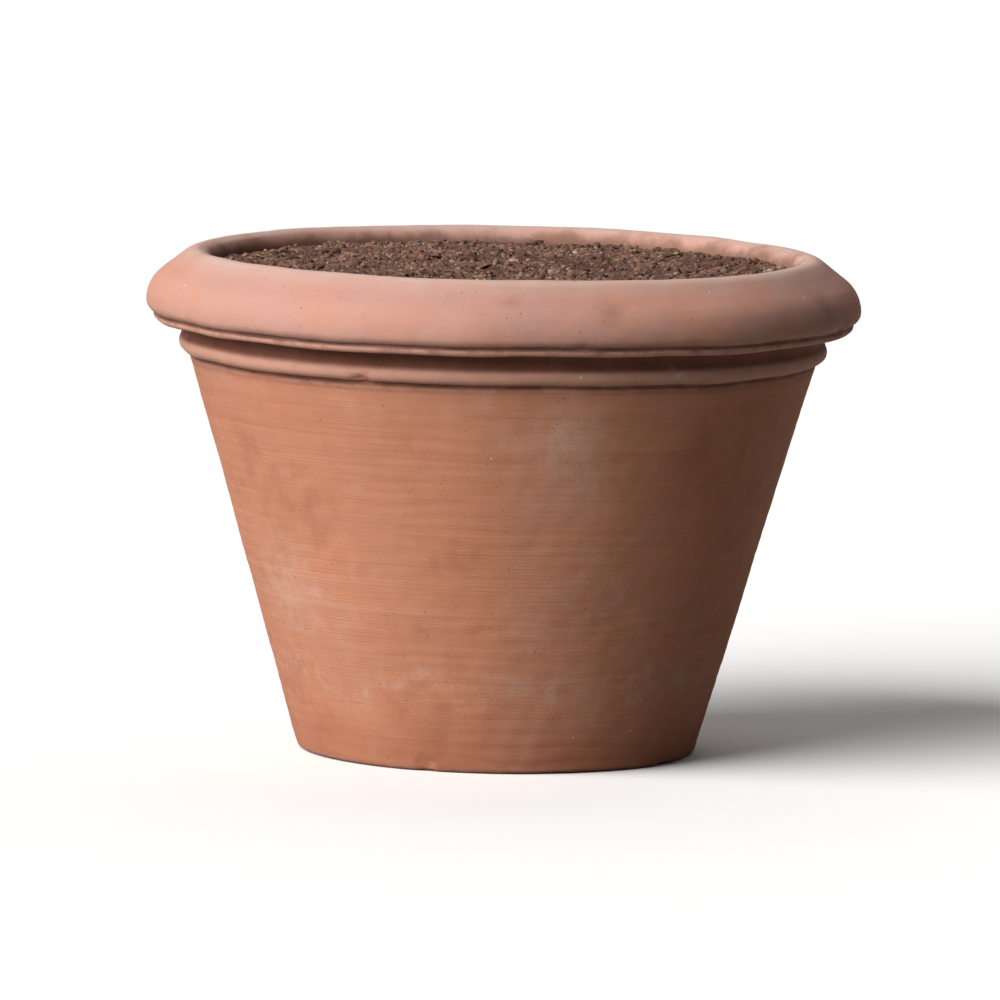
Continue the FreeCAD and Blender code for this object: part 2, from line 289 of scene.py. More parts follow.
def lathe_faces(rows, columns, closed):
    """Four-sided faces that join rows of points into a turned surface."""
    row = np.arange(rows if closed else rows - 1)[:, None]
    column = np.arange(columns)[None, :]
    beyond = (row + 1) % rows
    beside = (column + 1) % columns
    corners = [row * columns + column, row * columns + beside,
               beyond * columns + beside, beyond * columns + column]
    return np.stack(np.broadcast_arrays(*corners), axis=-1).reshape(-1, 4)


def disc_grid(cells):
    """A unit disc of nearly square cells: its points, its faces and its rim in order."""
    u, v = np.meshgrid(np.linspace(-1, 1, cells), np.linspace(-1, 1, cells), indexing="ij")
    points = np.stack([u * np.sqrt(1 - v**2 / 2), v * np.sqrt(1 - u**2 / 2)], axis=-1)
    number = np.arange(cells * cells).reshape(cells, cells)
    corners = [number[:-1, :-1], number[1:, :-1], number[1:, 1:], number[:-1, 1:]]
    faces = np.stack(corners, axis=-1).reshape(-1, 4)
    sides = [number[:-1, 0], number[-1, :-1], number[:0:-1, -1], number[0, :0:-1]]
    return points.reshape(-1, 2), faces, np.concatenate(sides)


def domes(flat, spacing, reach, seed):
    """Packed domes over a disc of the given reach: their height, 0 to 1, at rows of x and y, and
    a random number for the dome that each row falls on."""
    rng = np.random.default_rng(seed)
    number = int(math.pi * reach**2 / spacing**2)
    bearing = rng.uniform(0, 2 * math.pi, number)
    centres = around(reach * np.sqrt(rng.uniform(0, 1, number)), bearing, 0.0)
    tree = KDTree(number)
    for index, centre in enumerate(centres):
        tree.insert(centre, index)
    tree.balance()
    found = [tree.find((x, y, 0))[1:] for x, y in flat]
    index = np.array([f[0] for f in found])
    distance = np.array([f[1] for f in found])
    own = rng.uniform(0, 1, number)[index]
    rounded = np.sqrt(np.clip(1 - (distance / (spacing * 0.95)) ** 2, 0, 1))
    return rounded * (0.45 + 0.55 * own), own


def bearings(columns):
    """The bearing of each mesh column, in radians."""
    return np.linspace(0, 2 * math.pi, columns, endpoint=False)


def around(radius, bearing, height):
    """Points from radii, bearings and heights."""
    return np.stack(
        np.broadcast_arrays(radius * np.sin(bearing), -radius * np.cos(bearing), height), axis=-1
    )


def icosphere(subdivisions):
    """Points and faces of a unit ball made of triangles."""
    work = bmesh.new()
    bmesh.ops.create_icosphere(work, subdivisions=subdivisions, radius=1)
    points = np.array([v.co[:] for v in work.verts])
    faces = np.array([[v.index for v in f.verts] for f in work.faces])
    work.free()
    return points, faces


def turns(rng, number):
    """Random rotation matrices."""
    q = rng.normal(size=(number, 4))
    w, x, y, z = (q / np.linalg.norm(q, axis=1, keepdims=True)).T
    rows = [
        [1 - 2 * (y * y + z * z), 2 * (x * y - z * w), 2 * (x * z + y * w)],
        [2 * (x * y + z * w), 1 - 2 * (x * x + z * z), 2 * (y * z - x * w)],
        [2 * (x * z - y * w), 2 * (y * z + x * w), 1 - 2 * (x * x + y * y)],
    ]
    return np.array(rows).transpose(2, 0, 1)


def lump_cloud(template, places, radii, rng, lumpiness, jag, stretch=(1, 1, 1), lie_flat=1.0):
    """Many copies of a ball, each with its own lumps, jags, stretch and turn.
    lie_flat below 1 squeezes the copies towards the ground after they are turned."""
    ball, faces = template
    number = len(places)
    waves = rng.normal(size=(number, 3, 3)) * 1.5
    phases = rng.uniform(0, 2 * math.pi, (number, 1, 3))
    swell = np.sin(np.einsum("pk,nkw->npw", ball, waves) + phases).mean(axis=2)
    swell = 1 + lumpiness * swell + jag * rng.uniform(-1, 1, (number, len(ball)))
    own_stretch = np.array(stretch) * rng.uniform(0.8, 1.25, (number, 3))
    shaped = ball[None] * swell[..., None] * own_stretch[:, None, :]
    turned = np.einsum("npk,njk->npj", shaped, turns(rng, number))
    turned[..., 2] *= lie_flat
    points = turned * radii[:, None, None] + places[:, None, :]
    corners = faces[None] + (np.arange(number) * len(ball))[:, None, None]
    return points.reshape(-1, 3), corners.reshape(-1, 3)


# ---------------------------------------------------------------- node helpers


def rgba(value):
    """A colour with full alpha."""
    return (*value, 1.0)


def feed(tree, node, inputs):
    """Fills a node's sockets. inputs maps a socket's name or number to another socket, to a number
    or vector, or to a colour's red, green and blue."""
    for name, value in inputs.items():
        socket = node.inputs[name]
        if isinstance(value, bpy.types.NodeSocket):
            tree.links.new(value, socket)
        else:
            socket.default_value = rgba(value) if socket.type == "RGBA" else value


def add_node(tree, kind, inputs=None, **settings):
    """Adds a node, with its sockets filled by feed."""
    made = tree.nodes.new("ShaderNode" + kind)
    for name, value in settings.items():
        setattr(made, name, value)
    feed(tree, made, inputs or {})
    return made


def calculate(tree, operation, *terms, clamp=False):
    """The result of a Math node."""
    made = add_node(tree, "Math", dict(enumerate(terms)), operation=operation, use_clamp=clamp)
    return made.outputs[0]


def product(tree, one, other):
    """Two values multiplied."""
    return calculate(tree, "MULTIPLY", one, other)


def blend(tree, factor, under, over):
    """A colour laid over another. Each is a socket, or red, green and blue."""
    inputs = {0: factor, 6: under, 7: over}
    return add_node(tree, "Mix", inputs, data_type="RGBA", clamp_factor=True).outputs[2]


def fade(tree, value, low, high, bottom=0.0, top=1.0):
    """A value that goes smoothly from bottom to top while the given one goes from low to high."""
    inputs = {"Value": value, "From Min": low, "From Max": high, "To Min": bottom, "To Max": top}
    made = add_node(tree, "MapRange", inputs, interpolation_type="SMOOTHSTEP")
    return made.outputs[0]


def cloud(tree, vector, scale, detail=4.0, roughness=0.55):
    """Plain noise from 0 to 1."""
    inputs = {"Vector": vector, "Scale": scale, "Detail": detail, "Roughness": roughness}
    return add_node(tree, "TexNoise", inputs).outputs[0]


def patches(tree, vector, scale, detail, roughness, low, high, bottom=0.0, top=1.0):
    """Plain noise made into patches: from bottom where it is below low, to top above high."""
    return fade(tree, cloud(tree, vector, scale, detail, roughness), low, high, bottom, top)


def stretched(tree, vector, scale):
    """A vector scaled by its own amount on each axis."""
    made = add_node(tree, "VectorMath", {0: vector, 1: scale}, operation="MULTIPLY")
    return made.outputs[0]


def stored(tree, name):
    """A number kept in the mesh by set_values."""
    return add_node(tree, "Attribute", attribute_name=name).outputs["Fac"]


# ---------------------------------------------------------------- node groups


def new_group(name, inputs, outputs):
    """A node group, its input sockets and its output sockets, given as names and kinds."""
    group = bpy.data.node_groups.new(name, "ShaderNodeTree")
    for direction, sockets in (("INPUT", inputs), ("OUTPUT", outputs)):
        for socket, kind in sockets.items():
            group.interface.new_socket(socket, in_out=direction, socket_type="NodeSocket" + kind)
    entry = group.nodes.new("NodeGroupInput")
    leave = group.nodes.new("NodeGroupOutput")
    return group, entry.outputs, leave.inputs


def use_group(tree, build, **inputs):
    """Places a group in a material, building it the first time. Socket names are written with
    underscores for spaces."""
    group = bpy.data.node_groups.get(build.__name__) or build(build.__name__)
    named = {key.replace("_", " ").capitalize(): value for key, value in inputs.items()}
    return add_node(tree, "Group", named, node_tree=group).outputs


def mottled_earth(name):
    """Three tones in broad clouds and fine ones, as fired or dug earth has."""
    sockets = {"Vector": "Vector", "Body": "Color", "Deep": "Color", "Pale": "Color"}
    sockets |= {"Broad scale": "Float", "Fine scale": "Float", "Strength": "Float"}
    group, entry, leave = new_group(name, sockets, {"Color": "Color", "Tone": "Float"})
    broad = cloud(group, entry["Vector"], entry["Broad scale"], 5, 0.6)
    fine = cloud(group, entry["Vector"], entry["Fine scale"], 6, 0.65)
    tone = calculate(group, "ADD", product(group, broad, 0.62), product(group, fine, 0.38))
    deep = product(group, fade(group, tone, 0.50, 0.34), entry["Strength"])
    pale = product(group, fade(group, tone, 0.50, 0.68), entry["Strength"])
    darkened = blend(group, deep, entry["Body"], entry["Deep"])
    group.links.new(blend(group, pale, darkened, entry["Pale"]), leave["Color"])
    group.links.new(tone, leave["Tone"])
    return group


def sparse_specks(name):
    """Round specks of uneven size, scattered thinly."""
    sockets = {"Vector": "Vector", "Scale": "Float", "Share": "Float", "Size": "Float"}
    group, entry, leave = new_group(name, sockets, {"Mask": "Float"})
    cells = add_node(group, "TexVoronoi", {"Vector": entry["Vector"], "Scale": entry["Scale"]})
    pick = add_node(group, "SeparateColor", {0: cells.outputs["Color"]})
    chosen = calculate(group, "LESS_THAN", pick.outputs[0], entry["Share"])
    own_size = product(group, entry["Size"], fade(group, pick.outputs[1], 0, 1, 0.35, 1.0))
    edge = calculate(group, "DIVIDE", cells.outputs["Distance"], own_size)
    spot = fade(group, edge, 1.0, 0.6)
    group.links.new(product(group, spot, chosen), leave["Mask"])
    return group


def grainy_relief(name):
    """Sandy relief: fine grain and coarser grog, as a height for a Bump node."""
    sockets = {"Vector": "Vector", "Grain scale": "Float", "Grog scale": "Float", "Grog": "Float"}
    group, entry, leave = new_group(name, sockets, {"Height": "Float"})
    grain = cloud(group, entry["Vector"], entry["Grain scale"], 3, 0.7)
    cells = add_node(group, "TexVoronoi", {"Vector": entry["Vector"], "Scale": entry["Grog scale"]})
    bumps = product(group, fade(group, cells.outputs["Distance"], 0.45, 0.0), entry["Grog"])
    group.links.new(calculate(group, "ADD", grain, bumps), leave["Height"])
    return group


def lying_dust(name):
    """A mask for what settles on faces that look up, broken into patches; on the shell it is also
    painted top light.
    """
    sockets = {"Vector": "Vector", "Scale": "Float", "Amount": "Float"}
    group, entry, leave = new_group(name, sockets, {"Mask": "Float"})
    facing = add_node(group, "SeparateXYZ", {0: add_node(group, "NewGeometry").outputs["Normal"]})
    upward = fade(group, facing.outputs[2], 0.1, 0.95)
    patch = patches(group, entry["Vector"], entry["Scale"], 6, 0.7, 0.38, 0.62)
    patchy = product(group, upward, calculate(group, "ADD", 0.35, patch))
    mask = calculate(group, "MULTIPLY", patchy, entry["Amount"], clamp=True)
    group.links.new(mask, leave["Mask"])
    return group


# ---------------------------------------------------------------- materials


def new_material(name):
    """A material, its node tree and the point's place in the frame."""
    material = bpy.data.materials.new(name)
    material.use_nodes = True
    tree = material.node_tree
    return material, tree, add_node(tree, "TexCoord").outputs["Object"]


def finished(material, base, roughness, specular, height=None, relief=0.0, sheen=0.0):
    """The material, with its Principled shader fed. The relief is the depth in metres of the bump
    that the height gives."""
    tree = material.node_tree
    inputs = {"Base Color": base, "Roughness": roughness, "Specular IOR Level": specular}
    inputs["Sheen Weight"] = sheen
    if height is not None:
        bump = add_node(tree, "Bump", {"Height": height, "Distance": relief, "Strength": 1.0})
        inputs["Normal"] = bump.outputs[0]
    feed(tree, tree.nodes["Principled BSDF"], inputs)
    return material


def specks(tree, where, scale, share, size):
    """Where sparse specks lie."""
    return use_group(tree, sparse_specks, vector=where, scale=scale, share=share, size=size)["Mask"]


def dust_on(tree, where, scale, amount):
    """Where dust lies; on the shell it is also painted top light."""
    return use_group(tree, lying_dust, vector=where, scale=scale, amount=amount)["Mask"]


def grain_of(tree, where, grain, grog, share):
    """The height of a sandy grain and of its coarser grog."""
    scales = {"grain_scale": grain, "grog_scale": grog, "grog": share}
    return use_group(tree, grainy_relief, vector=where, **scales)["Height"]


def turning_lines(tree, where, parts):
    """Fine and broad lines that the turning leaves, and where the fine ones show."""
    # they run round the pot, so they are fine across it and long round it
    wound = {0: parts[0], 1: parts[1], 2: stored(tree, "along")}
    round_it = add_node(tree, "CombineXYZ", wound).outputs[0]
    fine = cloud(tree, stretched(tree, round_it, (7, 7, 620)), 1.0, 3, 0.6)
    broad = cloud(tree, stretched(tree, round_it, (3.5, 3.5, 130)), 1.0, 4, 0.6)
    return fine, broad, patches(tree, where, 11, 4, 0.55, 0.35, 0.68, 0.25, 1.0)


def streaked(tree, under, fine, broad, shown):
    """Clay streaked lighter and darker along its turning lines."""
    colours = bpy.context.scene.pot_clay
    under = blend(tree, fade(tree, broad, 0.44, 0.26, 0, 0.26), under, colours.deep)
    under = blend(tree, fade(tree, broad, 0.55, 0.76, 0, 0.30), under, colours.pale)
    bright = product(tree, fade(tree, fine, 0.52, 0.74, 0, 0.20), shown)
    under = blend(tree, bright, under, colours.bloom)
    dark = product(tree, fade(tree, fine, 0.46, 0.26, 0, 0.16), shown)
    return blend(tree, dark, under, colours.deep)


def dried(tree, under, where, upper):
    """Dry bloom on the rim and the mouldings, thinner down the wall, and dust on what looks up, which is
    also painted top light.
    """
    bloom = bpy.context.scene.pot_clay.bloom
    dry = patches(tree, where, 16, 6, 0.62, 0.34, 0.66, 0.42, 0.92)
    cover = product(tree, calculate(tree, "ADD", upper, 0.16), dry)
    under = blend(tree, product(tree, cover, 0.86), under, bloom)
    # dust and painted top light: faces that look up made paler with bloom
    dust = dust_on(tree, where, 30.0, amount=0.30)
    return blend(tree, dust, under, bloom)


def weathered(tree, under, where, height):
    """A rain-bleached crest with a painted highlight along its edge, painted shade in the hollow under
    the rim, and a cordon painted paler as painted light.
    """
    colours = bpy.context.scene.pot_clay
    shell = bpy.context.scene.pot_shell
    ragged = patches(tree, where, 22, 4, 0.5, 0.25, 0.75, -0.0015, 0.0015)
    below_crest = calculate(tree, "ADD", calculate(tree, "SUBTRACT", SHELL_HIGH.z, height), ragged)
    under = blend(tree, fade(tree, below_crest, 0.014, 0.0025, 0, 0.26), under, colours.weathered)
    # painted highlight: a narrow pale line along the crest's edge
    under = blend(tree, fade(tree, below_crest, 0.0045, 0.0010, 0, 0.55), under, colours.weathered)
    # painted shade: the hollow under the rim darkened with deep clay and some stain
    hollow = product(
        tree, fade(tree, height, shell.hollow_foot - 0.002, shell.hollow_foot + 0.001),
        fade(tree, height, shell.roll_foot + 0.002, shell.roll_foot - 0.001, 0, 0.86),
    )
    under = blend(tree, hollow, under, colours.deep)
    under = blend(tree, product(tree, hollow, 0.28), under, colours.stain)
    # painted light: the cordon made paler with pale clay
    cordon = product(
        tree, fade(tree, height, shell.moulding_foot + 0.0025, shell.moulding_foot + 0.0050),
        fade(tree, height, shell.hollow_foot - 0.0010, shell.hollow_foot - 0.0030, 0, 0.6),
    )
    return blend(tree, cordon, under, colours.pale)


def creased_and_rubbed(tree, under, where):
    """Painted shade in the sheltered creases, and paler rubbed edges."""
    colours = bpy.context.scene.pot_clay
    patchy = patches(tree, where, 45, 5, 0.6, 0.3, 0.7, 0.65, 1.0)
    # painted shade: the concave creases darkened with stain
    crease_shade = product(tree, stored(tree, "sheltered"), patchy)
    under = blend(tree, product(tree, crease_shade, 0.92), under, colours.stain)
    rubbed = product(tree, stored(tree, "worn"), patches(tree, where, 70, 5, 0.65, 0.30, 0.60))
    return blend(tree, product(tree, rubbed, 0.85), under, colours.pale)


def damp_footed(tree, under, where, height):
    """A damp foot, with a tide mark of lime above it."""
    colours = bpy.context.scene.pot_clay
    level = calculate(tree, "ADD", height, patches(tree, where, 14, 5, 0.6, 0, 1, -0.03, 0.03))
    under = blend(tree, fade(tree, level, 0.052, 0.012, 0, 0.42), under, colours.deep)
    tide = product(tree, fade(tree, level, 0.045, 0.060), fade(tree, level, 0.088, 0.062))
    tide = product(tree, tide, patches(tree, where, 60, 6, 0.7, 0.44, 0.70, 0, 0.16))
    return blend(tree, tide, under, colours.lime)


def soiled_collar(tree, under, where, height):
    """The collar's inside, browned more towards the compost."""
    level = calculate(
        tree, "ADD", height, patches(tree, where, 34, 6, 0.62, 0.25, 0.75, -0.0045, 0.0045)
    )
    browning = fade(tree, level, SHELL_HIGH.z - 0.0010, COMPOST_HIGH.z - 0.0050, 0.04, 0.74)
    browning = product(tree, stored(tree, "inside"), browning)
    return blend(tree, browning, under, bpy.context.scene.pot_compost.brown)


def marked(tree, under, where, pores):
    """Smudges, splashes, dark pores, lime specks and chips."""
    colours = bpy.context.scene.pot_clay
    cloudy = patches(tree, where, 110, 5, 0.65, 0.26, 0.66, 0.45, 1.0)
    lime = specks(tree, where, 150.0, share=0.018, size=0.17)
    for mask, strength, tint in (
        (stored(tree, "smudged"), cloudy, colours.stain),
        (stored(tree, "splashed"), cloudy, colours.lime),
        (pores, 0.55, colours.stain),
        (lime, 0.85, colours.lime),
        (stored(tree, "chipped"), 0.8, colours.fresh),
    ):
        under = blend(tree, product(tree, mask, strength), under, tint)
    return under


def turned_clay():
    """The shell's clay: mottled and streaked by turning, with bloom on the rim and mouldings."""
    colours = bpy.context.scene.pot_clay
    material, tree, where = new_material("turned_clay")
    parts = add_node(tree, "SeparateXYZ", {0: where}).outputs
    upper = fade(tree, parts[2], 0.268, 0.284)
    pores = specks(tree, where, 420.0, share=0.055, size=0.27)
    fine, broad, shown = turning_lines(tree, where, parts)
    body = use_group(
        tree, mottled_earth, vector=where, body=colours.clay, deep=colours.deep,
        pale=colours.pale, broad_scale=7.0, fine_scale=55.0, strength=0.50,
    )
    surface = streaked(tree, body["Color"], fine, broad, shown)
    surface = dried(tree, surface, where, upper)
    surface = weathered(tree, surface, where, parts[2])
    surface = creased_and_rubbed(tree, surface, where)
    surface = damp_footed(tree, surface, where, parts[2])
    surface = soiled_collar(tree, surface, where, parts[2])
    surface = marked(tree, surface, where, pores)
    # the lines stand in relief, less so on the rim and mouldings, and the pores are sunk
    grain = grain_of(tree, where, 1100.0, 380.0, share=0.35)
    lines = product(tree, calculate(tree, "ADD", product(tree, fine, shown), broad), 0.9)
    lines = product(tree, lines, calculate(tree, "SUBTRACT", 1.0, product(tree, upper, 0.6)))
    height = calculate(tree, "ADD", product(tree, grain, 0.45), lines)
    height = calculate(tree, "SUBTRACT", height, product(tree, pores, 0.9))
    roughness = fade(tree, body["Tone"], 0.3, 0.7, 0.78, 0.93)
    return finished(material, surface, roughness, 0.28, height, relief=0.00034)


def broken_clay():
    """Crocks from an old pot: weathered faces and brighter, rougher breaks."""
    colours = bpy.context.scene.pot_clay
    material, tree, where = new_material("broken_clay")
    body = use_group(
        tree, mottled_earth, vector=where, body=colours.clay, deep=colours.deep,
        pale=colours.pale, broad_scale=22.0, fine_scale=160.0, strength=0.75,
    )
    fresh = product(tree, stored(tree, "broken"), patches(tree, where, 120, 5, 0.6, 0.3, 0.6, 0.5, 0.95))
    broken = blend(tree, fresh, body["Color"], colours.fresh)
    dust = dust_on(tree, where, 70.0, amount=0.55)
    dusty = blend(tree, dust, broken, bpy.context.scene.pot_compost.brown)
    lime = specks(tree, where, 260.0, share=0.06, size=0.24)
    limed = blend(tree, lime, dusty, colours.lime)
    grain = grain_of(tree, where, 900.0, 300.0, share=0.8)
    coarse = product(tree, cloud(tree, where, 240, 5, 0.7), stored(tree, "broken"))
    height = calculate(tree, "ADD", grain, product(tree, coarse, 2.0))
    roughness = fade(tree, body["Tone"], 0.3, 0.7, 0.82, 0.95)
    return finished(material, limed, roughness, 0.25, height, relief=0.0003)


def crumbly_earth():
    """Compost: each crumb has its own tone, from damp brown to dry pink, olive and straw."""
    colours = bpy.context.scene.pot_compost
    material, tree, where = new_material("crumbly_earth")
    own = calculate(
        tree, "ADD", stored(tree, "tone"), patches(tree, where, 190, 4, 0.6, 0.2, 0.8, -0.11, 0.11)
    )
    ramp = tree.nodes.new("ShaderNodeValToRGB")
    stops = [(0.0, colours.dark), (0.26, colours.brown), (0.52, colours.red), (0.66, colours.brown),
             (0.78, colours.pink), (0.87, colours.brown), (0.93, colours.green), (1.0, colours.straw)]
    while len(ramp.color_ramp.elements) < len(stops):
        ramp.color_ramp.elements.new(0.5)
    for element, (position, tint) in zip(ramp.color_ramp.elements, stops):
        element.position = position
        element.color = rgba(tint)
    tree.links.new(own, ramp.inputs[0])
    body = use_group(
        tree, mottled_earth, vector=where, body=colours.brown, deep=colours.dark,
        pale=colours.pink, broad_scale=24.0, fine_scale=420.0, strength=0.9,
    )
    mixed = blend(tree, 0.24, ramp.outputs[0], body["Color"])
    damp = patches(tree, where, 13, 5, 0.55, 0.58, 0.40, 0, 0.34)
    mixed = blend(tree, damp, mixed, colours.dark)
    grit = specks(tree, where, 620.0, share=0.07, size=0.30)
    mixed = blend(tree, product(tree, grit, 0.7), mixed, colours.pink)
    height = grain_of(tree, where, 1300.0, 650.0, share=0.9)
    roughness = fade(tree, body["Tone"], 0.3, 0.7, 0.80, 0.97)
    return finished(material, mixed, roughness, 0.22, height, relief=0.00055)


def fired_pebble():
    """Expanded clay: a thin fired skin, open dark pores and dust on top."""
    colours = bpy.context.scene.pot_inside
    material, tree, where = new_material("fired_pebble")
    own = stored(tree, "tone")
    skin = blend(tree, fade(tree, own, 0, 1, 0, 0.55), colours.pebble_skin,
                 bpy.context.scene.pot_clay.clay)
    pores = specks(tree, where, 700.0, share=0.45, size=0.34)
    cracks = patches(tree, where, 260, 5, 0.65, 0.42, 0.34, 0, 0.8)
    pored = blend(tree, pores, skin, colours.pebble_core)
    pored = blend(tree, cracks, pored, colours.pebble_core)
    dust = dust_on(tree, where, 90.0, amount=0.45)
    dusty = blend(tree, dust, pored, bpy.context.scene.pot_clay.bloom)
    grain = grain_of(tree, where, 1200.0, 520.0, share=0.6)
    height = calculate(tree, "SUBTRACT", grain, product(tree, pores, 1.4))
    roughness = patches(tree, where, 300, 3, 0.5, 0.3, 0.7, 0.72, 0.92)
    return finished(material, dusty, roughness, 0.3, height, relief=0.0004)


def felted_fleece():
    """Non-woven fleece: matted fibres, thinner and thicker patches, and damp stains."""
    colours = bpy.context.scene.pot_inside
    material, tree, where = new_material("felted_fleece")
    warp = add_node(tree, "TexNoise", {"Vector": where, "Scale": 60.0, "Detail": 2.0})
    bent = add_node(tree, "VectorMath", {0: warp.outputs[1], 1: (0.012, 0.012, 0.012), 2: where},
                    operation="MULTIPLY_ADD").outputs[0]
    one_way = cloud(tree, stretched(tree, bent, (1900, 210, 900)), 1.0, 2, 0.5)
    other_way = cloud(tree, stretched(tree, bent, (230, 1700, 900)), 1.0, 2, 0.5)
    fibres = calculate(tree, "MAXIMUM", one_way, other_way)
    patch = patches(tree, where, 48, 4, 0.6, 0.3, 0.7)
    stained = blend(tree, fade(tree, patch, 0.3, 1.0, 0, 0.35), colours.fleece_white,
                    bpy.context.scene.pot_compost.pink)
    shaded = blend(tree, fade(tree, fibres, 0.66, 0.44, 0, 0.5), stained,
                   bpy.context.scene.pot_compost.brown)
    roughness = fade(tree, fibres, 0.4, 0.7, 0.85, 0.97)
    return finished(material, shaded, roughness, 0.2, fibres, relief=0.00025, sheen=0.25)


# Colour of the floor's faint uneven patches, and the one in which it throws light back up.
FLOOR_SHADE = (0.7, 0.69, 0.67)
FLOOR_BOUNCE = (0.17, 0.165, 0.16)


def pale_floor():
    """Plain pale studio floor with the faintest unevenness."""
    tint = bpy.context.scene.pot_stage.floor_colour
    material, tree, where = new_material("pale_floor")
    uneven = patches(tree, where, 1.5, 3, 0.5, 0.3, 0.7, 0, 0.04)
    toned = blend(tree, uneven, tint, FLOOR_SHADE)
    # the floor throws little light back up, as a floor far larger than its lamps would
    bounced = add_node(tree, "LightPath").outputs["Is Diffuse Ray"]
    return finished(material, blend(tree, bounced, toned, FLOOR_BOUNCE), 0.95, 0.0)


# ---------------------------------------------------------------- the shell


# Dents and chips: bearing in degrees, height above the ground, breadth and depth in metres, and
# how much fresh clay they lay bare.
MARKS = [
    (-25.5, 0.2790, 0.0050, 0.0021, 0.85),
    (13.0, 0.3064, 0.0050, 0.0010, 0.3),
    (38.0, 0.2790, 0.0038, 0.0013, 0.6),
    (71.0, 0.3066, 0.0060, 0.0016, 0.7),
    (-118.0, 0.3064, 0.0042, 0.0010, 0.5),
    (128.0, 0.2800, 0.0065, 0.0020, 0.8),
    (-146.0, 0.3066, 0.0070, 0.0017, 0.7),
    (-8.0, 0.3300, 0.0130, 0.0006, 0.0),
    (19.0, 0.3300, 0.0160, 0.0007, 0.0),
    (-44.0, 0.1700, 0.0260, 0.0009, 0.0),
    (31.0, 0.1150, 0.0220, 0.0008, 0.0),
    (160.0, 0.2050, 0.0300, 0.0010, 0.0),
    (96.0, 0.1400, 0.0240, 0.0008, 0.0),
    (-104.0, 0.0900, 0.0200, 0.0009, 0.0),
    (-20.0, 0.0030, 0.0060, 0.0016, 0.7),
    (57.0, 0.0035, 0.0080, 0.0018, 0.7),
    (176.0, 0.0030, 0.0070, 0.0015, 0.6),
    (-88.0, 0.0040, 0.0060, 0.0014, 0.6),
]

# Handling marks and lime splashes: bearing in degrees, height and breadth in metres, strength.
SMUDGES = [
    (5.0, 0.3230, 0.0520, 0.16),
    (1.5, 0.3370, 0.0075, 0.34),
    (17.5, 0.3310, 0.0095, 0.40),
    (15.5, 0.3345, 0.0050, 0.25),
    (64.0, 0.3250, 0.0110, 0.40),
    (118.0, 0.3330, 0.0090, 0.45),
    (-152.0, 0.3290, 0.0120, 0.40),
    (41.0, 0.2250, 0.0220, 0.25),
    (-170.0, 0.1500, 0.0260, 0.30),
]
SPLASHES = [
    (32.5, 0.2845, 0.0022, 0.75),
    (33.4, 0.2800, 0.0014, 0.60),
    (31.2, 0.2895, 0.0016, 0.50),
    (13.0, 0.2400, 0.0260, 0.20),
    (16.0, 0.2120, 0.0200, 0.16),
    (84.0, 0.3260, 0.0030, 0.55),
    (87.0, 0.3190, 0.0022, 0.60),
    (81.5, 0.3120, 0.0026, 0.45),
    (-58.0, 0.1200, 0.0300, 0.18),
    (143.0, 0.1850, 0.0320, 0.20),
]

# The middle of the clay: the wall leans out to this height, and then the collar stands upright.
MIDDLE_HEIGHTS = (0.0, 0.275)
MIDDLE_RADII = (0.129, 0.209)

# How far below the compost's top the collar's inside is finely meshed and browned.
COLLAR_DEPTH = 0.02


def is_outside(radius, height):
    """Whether points of the shell lie on its outside."""
    return radius > np.interp(height, MIDDLE_HEIGHTS, MIDDLE_RADII)


def shell_step(settings):
    """The row spacing wanted at each radius and height of the shell's outline."""

    def step(radius, height):
        wanted = np.full(radius.shape, settings.hidden_step)
        outside = is_outside(radius, height)
        wanted = np.where(outside, settings.wall_step, wanted)
        wanted = np.where(outside & (height > settings.moulding_foot), settings.fine_step, wanted)
        rolled = outside & (height > settings.roll_foot + 0.012)
        collar = (height > COMPOST_HIGH.z - COLLAR_DEPTH) & (radius > COMPOST_HIGH.x - 0.004)
        wanted = np.where(rolled | (collar & ~outside), settings.roll_step, wanted)
        return np.where(outside & (height < 0.008), settings.fine_step * 1.6, wanted)

    return step


def outline_normals(outline):
    """Unit normals of a closed outline that goes up its outside, pointing out of the clay."""
    tangent = np.roll(outline, -1, axis=0) - np.roll(outline, 1, axis=0)
    tangent /= np.linalg.norm(tangent, axis=1, keepdims=True)
    return np.stack([tangent[:, 1], -tangent[:, 0]], axis=1)


def outline_bend(outline):
    """How sharply a closed outline turns at each point, in radians per metre; positive where the
    clay stands proud."""
    forward = np.roll(outline, -1, axis=0) - outline
    back = outline - np.roll(outline, 1, axis=0)
    cross = back[:, 0] * forward[:, 1] - back[:, 1] * forward[:, 0]
    turn = np.arctan2(cross, (back * forward).sum(axis=1))
    reach = 0.5 * (np.linalg.norm(forward, axis=1) + np.linalg.norm(back, axis=1))
    bend = turn / reach
    return 0.5 * bend + 0.25 * (np.roll(bend, 1) + np.roll(bend, -1))


def widened(mask):
    """A mask along the outline, spread over the rows beside it."""
    return np.max([np.roll(mask, rows) * (1 - 0.22 * abs(rows)) for rows in range(-3, 4)], axis=0)


def away_from(points, outline, degrees, height, breadth):
    """Distance of points from a place on the outside, in breadths, with a ragged edge."""
    level = np.abs(outline[:, 1] - height) < 0.002
    centre = around(outline[level, 0].max(), math.radians(degrees), height)
    reach = np.linalg.norm(points - centre, axis=-1) / breadth
    return reach * (1 + 0.22 * ripple(points, max(0.006, breadth / 2), seed=int(abs(degrees))))


def spotted(points, outline, spots):
    """How strongly each point is covered by soft-edged spots."""
    cover = np.zeros(points.shape[:2])
    for degrees, height, breadth, strength in spots:
        away = away_from(points, outline, degrees, height, breadth)
        cover = np.maximum(cover, strength * np.exp(-away**2))
    return cover


